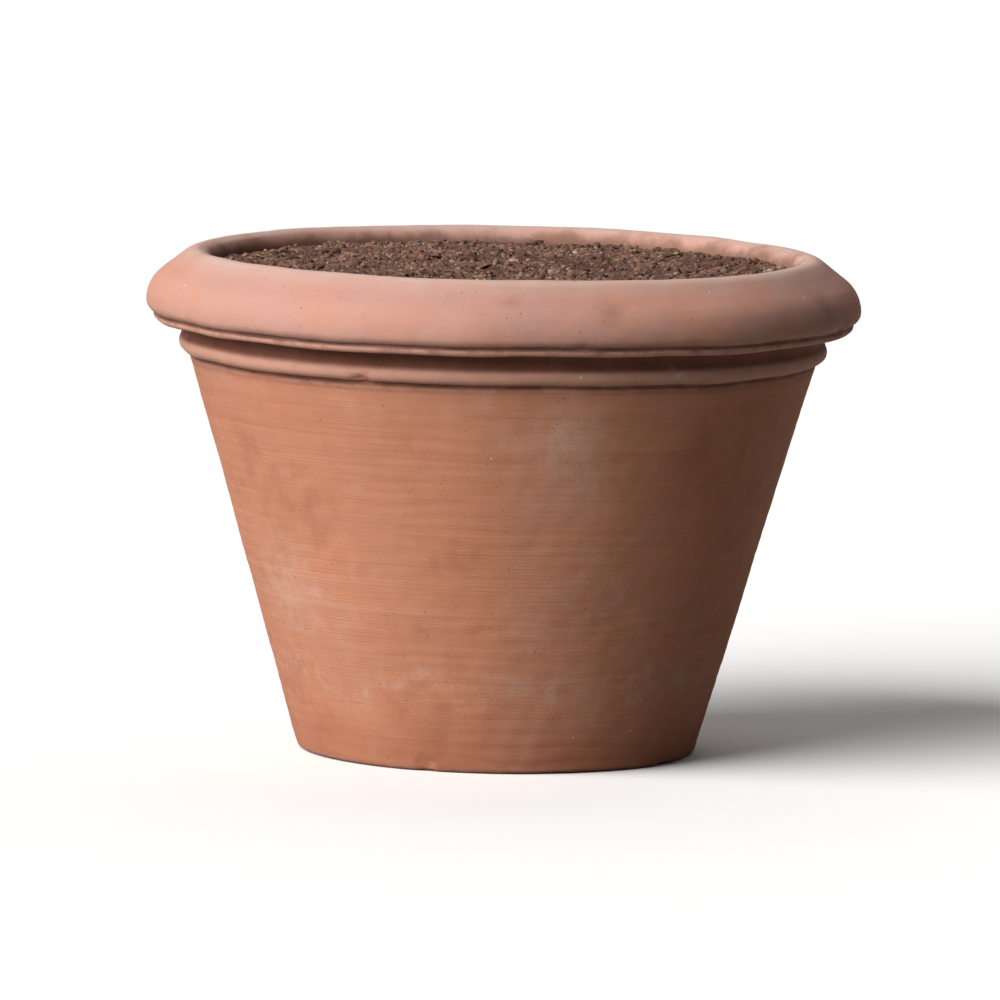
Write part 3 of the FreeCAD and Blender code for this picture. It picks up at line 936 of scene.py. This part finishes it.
def finger_ridges(settings, outline, along, turn, ideal, outside):
    """Depth of the turning ridges, which climb the wall in a slow spiral and fade in and out."""
    pitch = np.where(outside, settings.ridge_pitch, 1.9 * settings.ridge_pitch)
    spiral = 2 * math.pi * along[:, None] / pitch + turn
    wander = 1.6 * ripple(ideal * (1, 1, 3.0), 0.11, seed=3)
    strength = 0.55 + 0.45 * ripple(ideal * (1, 1, 2.0), 0.13, seed=4)
    depth = np.where(outside, 1.0, 2.6) * settings.ridge_depth
    quiet = np.interp(outline[:, 1], [0.27, 0.28, 0.307, 0.32], [1, 0.2, 0.2, 0.6])[:, None]
    return depth * quiet * strength * (0.5 + 0.5 * np.sin(spiral + wander))


def knocks(outline, ideal, outside):
    """Depth of the dents and chips, and how much fresh clay they lay bare."""
    depth = np.zeros(ideal.shape[:2])
    bare = np.zeros(ideal.shape[:2])
    for degrees, height, breadth, deepest, fresh in MARKS:
        ragged = away_from(ideal, outline, degrees, height, breadth)
        dent = np.exp(-ragged**2) if fresh == 0 else np.clip(1.25 - ragged, 0, 1) ** 0.7
        depth += deepest * dent * outside
        bare = np.maximum(bare, fresh * np.clip(dent * 1.6 - 0.25, 0, 1) * outside)
    return depth, bare


def hand_thrown(settings, outline, along, bearing):
    """Points of the shell, with the unevenness of hand turning pressed into the outline."""
    radius, height = (np.repeat(outline[:, k : k + 1], len(bearing), axis=1) for k in (0, 1))
    normal = outline_normals(outline)
    turn = np.broadcast_to(bearing, radius.shape)
    ideal = around(radius, turn, height)
    outside = is_outside(outline[:, 0], outline[:, 1])[:, None]
    # ridges, broad presses of the hand, a fine unevenness, dents and chips
    pressed = finger_ridges(settings, outline, along, turn, ideal, outside)
    pressed += settings.hand_depth * (0.5 + 0.5 * ripple(ideal, 0.085, seed=5))
    pressed += 0.28 * settings.hand_depth * (0.5 + 0.5 * ripple(ideal, 0.021, seed=6))
    knocked, bare = knocks(outline, ideal, outside)
    pressed += knocked
    radius = radius - normal[:, :1] * pressed
    height = height - normal[:, 1:] * pressed
    # the rim isn't a true circle, and the mouldings wander a little up and down
    lift = np.interp(outline[:, 1], [0.0, 0.05, 0.26, 0.35], [0, 0.1, 0.55, 1])[:, None]
    radius -= settings.ovality * lift * (0.5 + 0.5 * np.cos(2 * turn + 0.9))
    ring = np.stack([np.sin(turn), np.cos(turn)], axis=-1) * 0.24
    waver = 0.6 * ripple(ring, 0.42, seed=8) + 0.4 * ripple(ring, 0.12, seed=9)
    moulded = np.interp(outline[:, 1], [0.2, 0.275, 0.31, 0.35], [0, 1, 0.8, 0.45])[:, None]
    height += settings.waviness * moulded * (waver - 1) * outside
    return radius, turn, height, bare


def make_shell():
    """The fired shell, turned from the CAD node's own outline."""
    settings = bpy.context.scene.pot_shell
    outline, along = resample(seam_outline("terracotta_pot"), shell_step(settings))
    bearing = bearings(settings.columns)
    radius, turn, height, bare = hand_thrown(settings, outline, along, bearing)
    height = np.clip(height, SHELL_LOW.z, SHELL_HIGH.z)
    places = around(radius, turn, height)
    faces = lathe_faces(len(outline), len(bearing), True)
    mesh = new_mesh("terracotta_shell", places.reshape(-1, 3), faces)
    bend = outline_bend(outline)
    crest_radius = outline[outline[:, 1].argmax(), 0]
    collar = np.clip((crest_radius - outline[:, 0]) / 0.005, 0, 1)
    collar *= outline[:, 1] > COMPOST_HIGH.z - COLLAR_DEPTH
    columns = np.ones((1, len(bearing)))
    set_values(
        mesh,
        along=along[:, None] * columns,
        worn=np.clip(bend[:, None] / 160 - 0.15, 0, 1) * columns,
        # concave creases, which the clay's material darkens as painted shade
        sheltered=widened(np.clip(-bend / 110 - 0.1, 0, 1))[:, None] * columns,
        inside=collar[:, None] * columns,
        chipped=bare,
        smudged=spotted(places, outline, SMUDGES),
        splashed=spotted(places, outline, SPLASHES),
    )
    turn_outwards(mesh)
    add_piece("terracotta_shell", mesh, turned_clay(), ["terracotta_pot"])


# ---------------------------------------------------------------- the compost


# The crown of the compost's bed lies this far below the CAD node's top, falls by this much towards
# the clay, and is piled up by this much right beside it.
BED_ROOM = 0.0020
BED_FALL = 0.0050
BED_EDGE_PILE = 0.0018
# Gap between the bed and the clay, and how far below the node's top the bed's wall ends.
BED_GAP = 0.0004
BED_WALL_DROP = 0.0045
# Spacing of the bed's coarse and fine lumps.
COARSE_LUMPS = 0.0068
FINE_LUMPS = 0.0027


def compost_surface(flat):
    """Height of the compost at rows of x and y: crowned, lumpy, and piled up beside the clay."""
    settings = bpy.context.scene.pot_compost
    reach = np.linalg.norm(flat, axis=-1) / COMPOST_HIGH.x
    rise = COMPOST_HIGH.z - BED_ROOM - BED_FALL * reach**2
    lumps = 0.55 * ripple(flat, 0.045, 21) + 0.45 * ripple(flat, 0.019, 22)
    near_clay = np.clip((reach - 0.93) / 0.07, 0, 1)
    piled = BED_EDGE_PILE * near_clay * (0.5 + 0.6 * ripple(flat, 0.05, 24))
    return rise + settings.bed_relief * lumps * 0.5 + piled


def make_bed():
    """The body of the compost: a closed plug with a crumbly top."""
    settings = bpy.context.scene.pot_compost
    outline = seam_outline("potting_compost")
    wall = outline[outline[:, 1] < COMPOST_HIGH.z - BED_WALL_DROP][::-1]
    disc, faces, rim = disc_grid(settings.bed_cells)
    reach = wall[0, 0] - BED_GAP
    flat = disc * reach
    coarse, _ = domes(flat, COARSE_LUMPS, reach, seed=25)
    fine, own = domes(flat, FINE_LUMPS, reach, seed=26)
    crumbly = settings.bed_relief * (0.55 * coarse + 0.42 * fine - 0.4)
    top = np.column_stack([flat, compost_surface(flat) + crumbly])
    sides = [np.column_stack([disc[rim] * (radius - BED_GAP), np.full(len(rim), height)])
             for radius, height in wall[1:]]
    points = np.vstack([top, *sides, [[0, 0, COMPOST_LOW.z]]])
    upper = rim
    joined = [faces]
    for step in range(len(sides)):
        lower = len(top) + step * len(rim) + np.arange(len(rim))
        joined.append(np.stack([upper, lower, np.roll(lower, -1), np.roll(upper, -1)], axis=1))
        upper = lower
    mesh = new_mesh("compost_bed", points, np.vstack(joined))

    def close_bottom(work):
        work.verts.ensure_lookup_table()
        for one, other in zip(upper, np.roll(upper, -1)):
            work.faces.new((work.verts[one], work.verts[-1], work.verts[other]))

    turn_outwards(mesh, mend=close_bottom)
    tone = np.full(len(mesh.vertices), 0.3)
    tone[: len(top)] = np.clip(0.20 + 0.50 * (own - 0.5) + 0.10 * ripple(flat, 0.03, 32), 0, 0.95)
    set_values(mesh, tone=tone)
    add_piece("compost_bed", mesh, earth(), ["potting_compost"])


def earth():
    """The compost's material, built once."""
    return bpy.data.materials.get("crumbly_earth") or crumbly_earth()


# No lump reaches higher than this far below the crest.
LUMPS_BELOW_CREST = 0.002
# How many of the lumps have each tone, along the compost's ramp from damp brown to straw.
CLUMP_TONES = {0.10: 0.14, 0.26: 0.26, 0.40: 0.20, 0.52: 0.20, 0.66: 0.08, 0.78: 0.12}
CRUMB_TONES = {
    0.08: 0.13, 0.26: 0.22, 0.42: 0.16, 0.54: 0.13, 0.70: 0.08, 0.79: 0.15, 0.93: 0.06, 0.99: 0.07,
}
CHIP_TONES = {0.06: 0.34, 0.22: 0.32, 0.50: 0.16, 0.90: 0.06, 1.0: 0.12}
GRIT_TONES = {0.74: 0.20, 0.78: 0.56, 0.90: 0.08, 1.0: 0.16}


def picked(rng, number, tones):
    """A tone for each lump, close to one of the given tones."""
    chosen = rng.choice(list(tones), number, p=list(tones.values()))
    return np.clip(chosen + rng.normal(0, 0.025, number), 0, 1)


def spots_on_compost(number, rng, margin):
    """Random places on the compost, at least a margin from the clay."""
    reach = (COMPOST_HIGH.x - margin) * np.sqrt(rng.uniform(0, 1, number))
    bearing = rng.uniform(0, 2 * math.pi, number)
    places = around(reach, bearing, 0.0)
    places[:, 2] = compost_surface(places[:, :2])
    return places


def strew(name, number, seed, radius_low, radius_high, subdivisions, tones, smooth, **shape):
    """One piece made of many lumps that lie half sunk in the compost. tones is one of the tables
    above."""
    rng = np.random.default_rng(seed)
    radii = radius_low + (radius_high - radius_low) * rng.uniform(0, 1, number) ** 2.4
    places = spots_on_compost(number, rng, radius_high + 0.001)
    places[:, 2] += radii * rng.uniform(-0.25, 0.45, number)
    template = icosphere(subdivisions)
    points, faces = lump_cloud(template, places, radii, rng, **shape)
    points[:, 2] = np.minimum(points[:, 2], SHELL_HIGH.z - LUMPS_BELOW_CREST)
    mesh = new_mesh(name, points, faces)
    set_values(mesh, tone=np.repeat(picked(rng, number, tones), len(template[0])))
    add_piece(name, mesh, earth(), smooth=smooth)


def make_crumbs():
    """Everything that lies loose on the compost."""
    settings = bpy.context.scene.pot_compost
    strew(
        "compost_clumps", settings.clumps, 41, 0.0009, 0.0034, 2, CLUMP_TONES, True,
        lumpiness=0.40, jag=0.11, stretch=(1.15, 0.95, 0.75), lie_flat=0.80,
    )
    strew(
        "compost_crumbs", settings.crumbs, 42, 0.0005, 0.0016, 1, CRUMB_TONES, False,
        lumpiness=0.30, jag=0.16, stretch=(1.15, 0.95, 0.8), lie_flat=0.85,
    )
    strew(
        "bark_chips", settings.chips, 43, 0.0016, 0.0052, 2, CHIP_TONES, False,
        lumpiness=0.16, jag=0.10, stretch=(1.45, 0.62, 0.17), lie_flat=0.42,
    )
    strew(
        "grit_and_perlite", settings.grit, 44, 0.0007, 0.0021, 2, GRIT_TONES, False,
        lumpiness=0.22, jag=0.09, stretch=(1, 0.9, 0.85), lie_flat=0.95,
    )


def make_roots():
    """Fine dry root fibres that loop over the compost."""
    settings = bpy.context.scene.pot_compost
    rng = np.random.default_rng(45)
    sides, steps = 5, 18
    points, faces, tones = [], [], []
    section = np.linspace(0, 2 * math.pi, sides, endpoint=False)
    for start in spots_on_compost(settings.roots, rng, 0.03):
        heading = rng.uniform(0, 2 * math.pi)
        curl = rng.normal(0, 26)
        span = rng.uniform(0.012, 0.034)
        gauge = rng.uniform(0.00016, 0.00036)
        travel = np.linspace(0, span, steps)
        angle = heading + curl * travel + 0.5 * np.sin(travel * rng.uniform(200, 420))
        route = np.stack([np.cumsum(np.cos(angle)), np.cumsum(np.sin(angle))], axis=1) * span / steps
        route += start[:2]
        rise = compost_surface(route) + 0.0014 + 0.0016 * np.sin(travel / span * math.pi)
        sideways = np.stack([-np.sin(angle), np.cos(angle)], axis=1)
        taper = gauge * np.interp(travel, [0, 0.1 * span, span], [0.6, 1, 0.35])
        ring = np.zeros((steps, sides, 3))
        reach = taper[:, None] * np.cos(section)
        ring[..., :2] = route[:, None] + sideways[:, None] * reach[..., None]
        ring[..., 2] = rise[:, None] + taper[:, None] * np.sin(section)
        base = sum(len(p) for p in points)
        points.append(ring.reshape(-1, 3))
        faces.append(lathe_faces(steps, sides, False) + base)
        tones += [rng.uniform(0.86, 1.0)] * (steps * sides)
    mesh = new_mesh("root_fibres", np.vstack(points), np.vstack(faces))
    turn_outwards(mesh, mend=lambda work: bmesh.ops.holes_fill(work, edges=work.edges, sides=sides))
    set_values(mesh, tone=tones)
    add_piece("root_fibres", mesh, earth())


# ---------------------------------------------------------------- below the compost


def inner_radius(height):
    """Inner radius of the shell's tapered wall at a height, from the fleece's own cone."""
    slope = (FLEECE_HIGH.x - PEBBLES_HIGH.x) / (FLEECE_HIGH.z - PEBBLES_HIGH.z)
    return PEBBLES_HIGH.x + slope * (height - PEBBLES_HIGH.z)


def settle(places, radii, low, high, rounds=70):
    """Pushes balls apart, and back between the floor, the top and the tapered wall."""
    for _ in range(rounds):
        apart = places[:, None, :] - places[None, :, :]
        gap = np.linalg.norm(apart, axis=-1) + 1e-9
        overlap = np.clip(radii[:, None] + radii[None, :] - gap, 0, None)
        np.fill_diagonal(overlap, 0)
        places = places + 0.35 * (apart / gap[..., None] * overlap[..., None]).sum(axis=1)
        places[:, 2] = np.clip(places[:, 2], low + radii, high - radii)
        reach = np.linalg.norm(places[:, :2], axis=1)
        room = inner_radius(places[:, 2]) - radii * 1.05
        places[:, :2] *= np.minimum(1, room / np.maximum(reach, 1e-6))[:, None]
    return places


def crock_trees():
    """A search tree of each crock's own CAD mesh."""
    trees = []
    for name in CROCKS:
        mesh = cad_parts[name].data
        trees.append(BVHTree.FromPolygons([v.co[:] for v in mesh.vertices],
                                          [p.vertices[:] for p in mesh.polygons]))
    return trees


def make_pebbles():
    """The drainage layer: loose pebbles, shaken down round the crocks."""
    settings = bpy.context.scene.pot_inside
    rng = np.random.default_rng(51)
    number = settings.pebbles
    radii = rng.uniform(settings.pebble_small, settings.pebble_large, number)
    height = rng.uniform(PEBBLES_LOW.z, PEBBLES_HIGH.z, number)
    reach = inner_radius(height) * np.sqrt(rng.uniform(0, 1, number))
    places = around(reach, rng.uniform(0, 2 * math.pi, number), height)
    places = settle(places, radii, PEBBLES_LOW.z, PEBBLES_HIGH.z)
    trees = crock_trees()
    arch_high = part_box("crock_over_drain")[1]
    under_arch = (np.linalg.norm(places[:, :2], axis=1) < arch_high.x) & (places[:, 2] < arch_high.z)
    clear = [
        not sheltered and all(tree.find_nearest(Vector(spot))[3] > 0.8 * radius for tree in trees)
        for sheltered, spot, radius in zip(under_arch, places, radii)
    ]
    places, radii = places[clear], radii[clear]
    template = icosphere(3)
    half = len(places) // 2
    order = np.argsort(places[:, 2])
    for name, chosen, replaced in (
        ("pebbles_lower", order[:half], ["drainage_pebbles"]),
        ("pebbles_upper", order[half:], []),
    ):
        points, faces = lump_cloud(
            template, places[chosen], radii[chosen] * 0.97, rng, lumpiness=0.12, jag=0.012
        )
        points[:, 2] = np.clip(points[:, 2], PEBBLES_LOW.z, PEBBLES_HIGH.z)
        mesh = new_mesh(name, points, faces)
        set_values(mesh, tone=np.repeat(rng.uniform(0, 1, len(chosen)), len(template[0])))
        material = bpy.data.materials.get("fired_pebble") or fired_pebble()
        add_piece(name, mesh, material, replaced)


# Gap between the fleece and the shell's wall.
FLEECE_GAP = 0.0015


def make_fleece():
    """The fleece: laid over the pebbles, a little dimpled, its edge pleated up the wall."""
    settings = bpy.context.scene.pot_inside
    gauge = settings.fleece_gauge
    upturn = FLEECE_HIGH.z - FLEECE_LOW.z - 0.001
    slant = math.hypot(upturn, inner_radius(FLEECE_HIGH.z) - inner_radius(FLEECE_LOW.z))
    flat_radius = inner_radius(FLEECE_LOW.z) - FLEECE_GAP
    lying = np.linspace(0, flat_radius, 58)[1:]
    along = np.concatenate([lying, flat_radius + np.linspace(0, slant, 13)[1:]])
    bearing = bearings(288)
    turned_up = np.clip((along - flat_radius) / slant, 0, 1)
    height = FLEECE_LOW.z + gauge + upturn * turned_up
    radius = np.where(turned_up > 0, inner_radius(height) - FLEECE_GAP, along)
    rows = around(radius[:, None], bearing[None], height[:, None])
    spots = np.vstack([[[0, 0, height[0]]], rows.reshape(-1, 3)])
    depth = np.concatenate([[0], np.repeat(turned_up, len(bearing))])
    turn = np.concatenate([[0], np.tile(bearing, len(along))])
    pleats = 0.5 + 0.5 * np.sin(31 * turn + 1.4 * np.sin(5 * turn) + 0.8 * np.sin(13 * turn))
    inward = 1 - 0.016 * pleats * np.clip(depth * 1.6, 0, 1)
    spots[:, :2] *= inward[:, None]
    dimple = 0.00042 * ripple(spots[:, :2], 0.014, 61) * (depth == 0)
    spots[:, 2] += np.clip(dimple, -gauge * 0.6, gauge * 0.6)
    columns = len(bearing)
    beside = (np.arange(columns) + 1) % columns
    work = bmesh.new()
    verts = [work.verts.new(spot) for spot in spots]
    for one, other in enumerate(beside):
        work.faces.new((verts[0], verts[1 + one], verts[1 + other]))
        for row in range(len(along) - 1):
            inner, outer = 1 + row * columns, 1 + (row + 1) * columns
            corners = inner + one, outer + one, outer + other, inner + other
            work.faces.new([verts[corner] for corner in corners])
    mesh = bpy.data.meshes.new("fleece_disc")
    work.to_mesh(mesh)
    work.free()
    fleece = add_piece("fleece_disc", mesh, felted_fleece(), ["separator_fleece"])
    thicken = fleece.modifiers.new("gauge", "SOLIDIFY")
    thicken.thickness = gauge
    thicken.offset = 0
    work_in(fleece)


def work_in(piece):
    """Works the piece's modifiers into its mesh."""
    graph = bpy.context.evaluated_depsgraph_get()
    piece.data = bpy.data.meshes.new_from_object(piece.evaluated_get(graph))
    piece.modifiers.clear()


def make_crocks():
    """Each crock as a rough shard: old curved faces, and uneven broken edges."""
    settings = bpy.context.scene.pot_inside
    material = broken_clay()
    for order, name in enumerate(CROCKS):
        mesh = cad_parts[name].data.copy()
        mesh.name = f"shard_{name}"
        low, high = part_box(name)
        shard = add_piece(f"shard_{name}", mesh, material, [name])
        remesh = shard.modifiers.new("even mesh", "REMESH")
        remesh.mode = "VOXEL"
        remesh.voxel_size = settings.crock_step
        soften = shard.modifiers.new("soften", "SMOOTH")
        soften.iterations = 2
        work_in(shard)
        co = np.array([v.co[:] for v in shard.data.vertices])
        normals = np.array([v.normal[:] for v in shard.data.vertices])
        broken = np.clip(1.35 - 1.9 * np.abs(normals[:, 2]), 0, 1)
        rough = 0.00035 * ripple(co, 0.016, 71 + order)
        rough += 0.0007 * broken * ripple(co, 0.0052, 81 + order)
        co += normals * (rough - 0.0004 - 0.0006 * broken)[:, None]
        co = np.clip(co, low, high)
        shard.data.vertices.foreach_set("co", co.ravel())
        set_values(shard.data, broken=broken)
        shard.data.polygons.foreach_set("use_smooth", [True] * len(shard.data.polygons))
        shard.data.update()


# ---------------------------------------------------------------- stage


def make_floor():
    """A plain floor that reaches beyond every view."""
    half = bpy.context.scene.pot_stage.floor_size / 2
    corners = np.array([[-half, -half, 0], [half, -half, 0], [half, half, 0], [-half, half, 0]])
    mesh = new_mesh("floor", corners, np.array([[0, 1, 2, 3]]))
    mesh.materials.append(pale_floor())
    floor = bpy.data.objects.new("floor", mesh)
    bpy.context.scene.collection.objects.link(floor)


# Each light's strength as a share of the key's, and its spread, bearing and elevation in degrees.
LIGHTS = {
    "key_light": (1.0, 52, -53, 33),
    "back_light": (0.12, 60, 178, 50),
}
SKY_WHITE = (1.0, 0.985, 0.965, 1)


def add_sun(name, strength, spread, bearing, elevation):
    """A soft light from far away. The bearing and elevation are where it comes from."""
    lamp = bpy.data.lights.new(name, "SUN")
    lamp.energy = strength
    lamp.angle = spread
    light = bpy.data.objects.new(name, lamp)
    towards = Vector(around(math.cos(elevation), bearing, math.sin(elevation)))
    light.rotation_mode = "QUATERNION"
    light.rotation_quaternion = towards.to_track_quat("Z", "Y")
    light.location = towards * 3
    bpy.context.scene.collection.objects.link(light)


def make_lights():
    """A broad key light from the front left, a weak one from behind, and an even pale fill."""
    settings = bpy.context.scene.pot_stage
    for name, (strength, *angles) in LIGHTS.items():
        add_sun(name, strength * settings.key_strength, *map(math.radians, angles))
    world = bpy.data.worlds.new("studio")
    world.use_nodes = True
    background = world.node_tree.nodes["Background"]
    background.inputs["Color"].default_value = SKY_WHITE
    background.inputs["Strength"].default_value = settings.fill_strength
    bpy.context.scene.world = world


def make_camera():
    """A long lens that looks slightly down at the rim and takes in the whole pot."""
    settings = bpy.context.scene.pot_stage
    rim_height = SHELL_HIGH.z - 0.03
    eye = Vector((
        0,
        -settings.view_distance * math.cos(settings.view_drop),
        rim_height + settings.view_distance * math.sin(settings.view_drop),
    ))
    middle = (SHELL_LOW + SHELL_HIGH) / 2
    lens = bpy.data.cameras.new("camera")
    lens.sensor_width = 36
    lens.lens = lens.sensor_width * (eye - middle).length / settings.frame_width
    lens.clip_end = 500
    camera = bpy.data.objects.new("camera", lens)
    camera.location = eye
    level = (middle - eye).to_track_quat("-Z", "Y")
    camera.rotation_euler = (level @ Quaternion((0, 0, 1), settings.view_roll)).to_euler()
    bpy.context.scene.collection.objects.link(camera)
    bpy.context.scene.camera = camera
    bpy.context.scene.view_settings.view_transform = "Standard"


# ---------------------------------------------------------------- operators and panel


class POT_OT_shell(bpy.types.Operator):
    """Turn the fired shell"""

    bl_idname = "pot.turn_shell"
    bl_label = "Turn shell"

    def execute(self, context):
        make_shell()
        return {"FINISHED"}


class POT_OT_crocks(bpy.types.Operator):
    """Lay the crocks over the drain hole"""

    bl_idname = "pot.lay_crocks"
    bl_label = "Lay crocks"

    def execute(self, context):
        make_crocks()
        return {"FINISHED"}


class POT_OT_pebbles(bpy.types.Operator):
    """Pour the drainage pebbles round the crocks"""

    bl_idname = "pot.pour_pebbles"
    bl_label = "Pour pebbles"

    def execute(self, context):
        make_pebbles()
        return {"FINISHED"}


class POT_OT_fleece(bpy.types.Operator):
    """Lay the fleece over the pebbles"""

    bl_idname = "pot.lay_fleece"
    bl_label = "Lay fleece"

    def execute(self, context):
        make_fleece()
        return {"FINISHED"}


class POT_OT_compost(bpy.types.Operator):
    """Fill the pot with compost"""

    bl_idname = "pot.fill_compost"
    bl_label = "Fill with compost"

    def execute(self, context):
        make_bed()
        return {"FINISHED"}


class POT_OT_crumbs(bpy.types.Operator):
    """Strew clumps, crumbs, bark, grit and root fibres on the compost"""

    bl_idname = "pot.strew_crumbs"
    bl_label = "Strew crumbs"

    def execute(self, context):
        make_crumbs()
        make_roots()
        return {"FINISHED"}


class POT_OT_stage(bpy.types.Operator):
    """Set the floor, the lights and the camera"""

    bl_idname = "pot.set_stage"
    bl_label = "Set stage"

    def execute(self, context):
        make_floor()
        make_lights()
        make_camera()
        return {"FINISHED"}


OPERATORS = [POT_OT_shell, POT_OT_crocks, POT_OT_pebbles, POT_OT_fleece, POT_OT_compost,
             POT_OT_crumbs, POT_OT_stage]
SETTINGS = {
    "pot_shell": ShellSettings,
    "pot_clay": ClaySettings,
    "pot_compost": CompostSettings,
    "pot_inside": InsideSettings,
    "pot_stage": StageSettings,
}


class POT_PT_panel(bpy.types.Panel):
    """The pot's pieces and settings"""

    bl_idname = "POT_PT_panel"
    bl_label = "Planted terracotta pot"
    bl_space_type = "VIEW_3D"
    bl_region_type = "UI"
    bl_category = "Pot"

    def draw(self, context):
        for operator in OPERATORS:
            self.layout.operator(operator.bl_idname)
        for name, kind in SETTINGS.items():
            box = self.layout.box()
            box.label(text=kind.__doc__)
            for field in kind.__annotations__:
                box.prop(getattr(context.scene, name), field)


def register():
    for kind in (*SETTINGS.values(), *OPERATORS, POT_PT_panel):
        bpy.utils.register_class(kind)
    for name, kind in SETTINGS.items():
        setattr(bpy.types.Scene, name, PointerProperty(type=kind))


def unregister():
    for name in SETTINGS:
        delattr(bpy.types.Scene, name)
    for kind in reversed((*SETTINGS.values(), *OPERATORS, POT_PT_panel)):
        bpy.utils.unregister_class(kind)


def main():
    register()
    for operator in OPERATORS:
        group, call = operator.bl_idname.split(".")
        getattr(getattr(bpy.ops, group), call)()


if __name__ == "__main__":
    main()
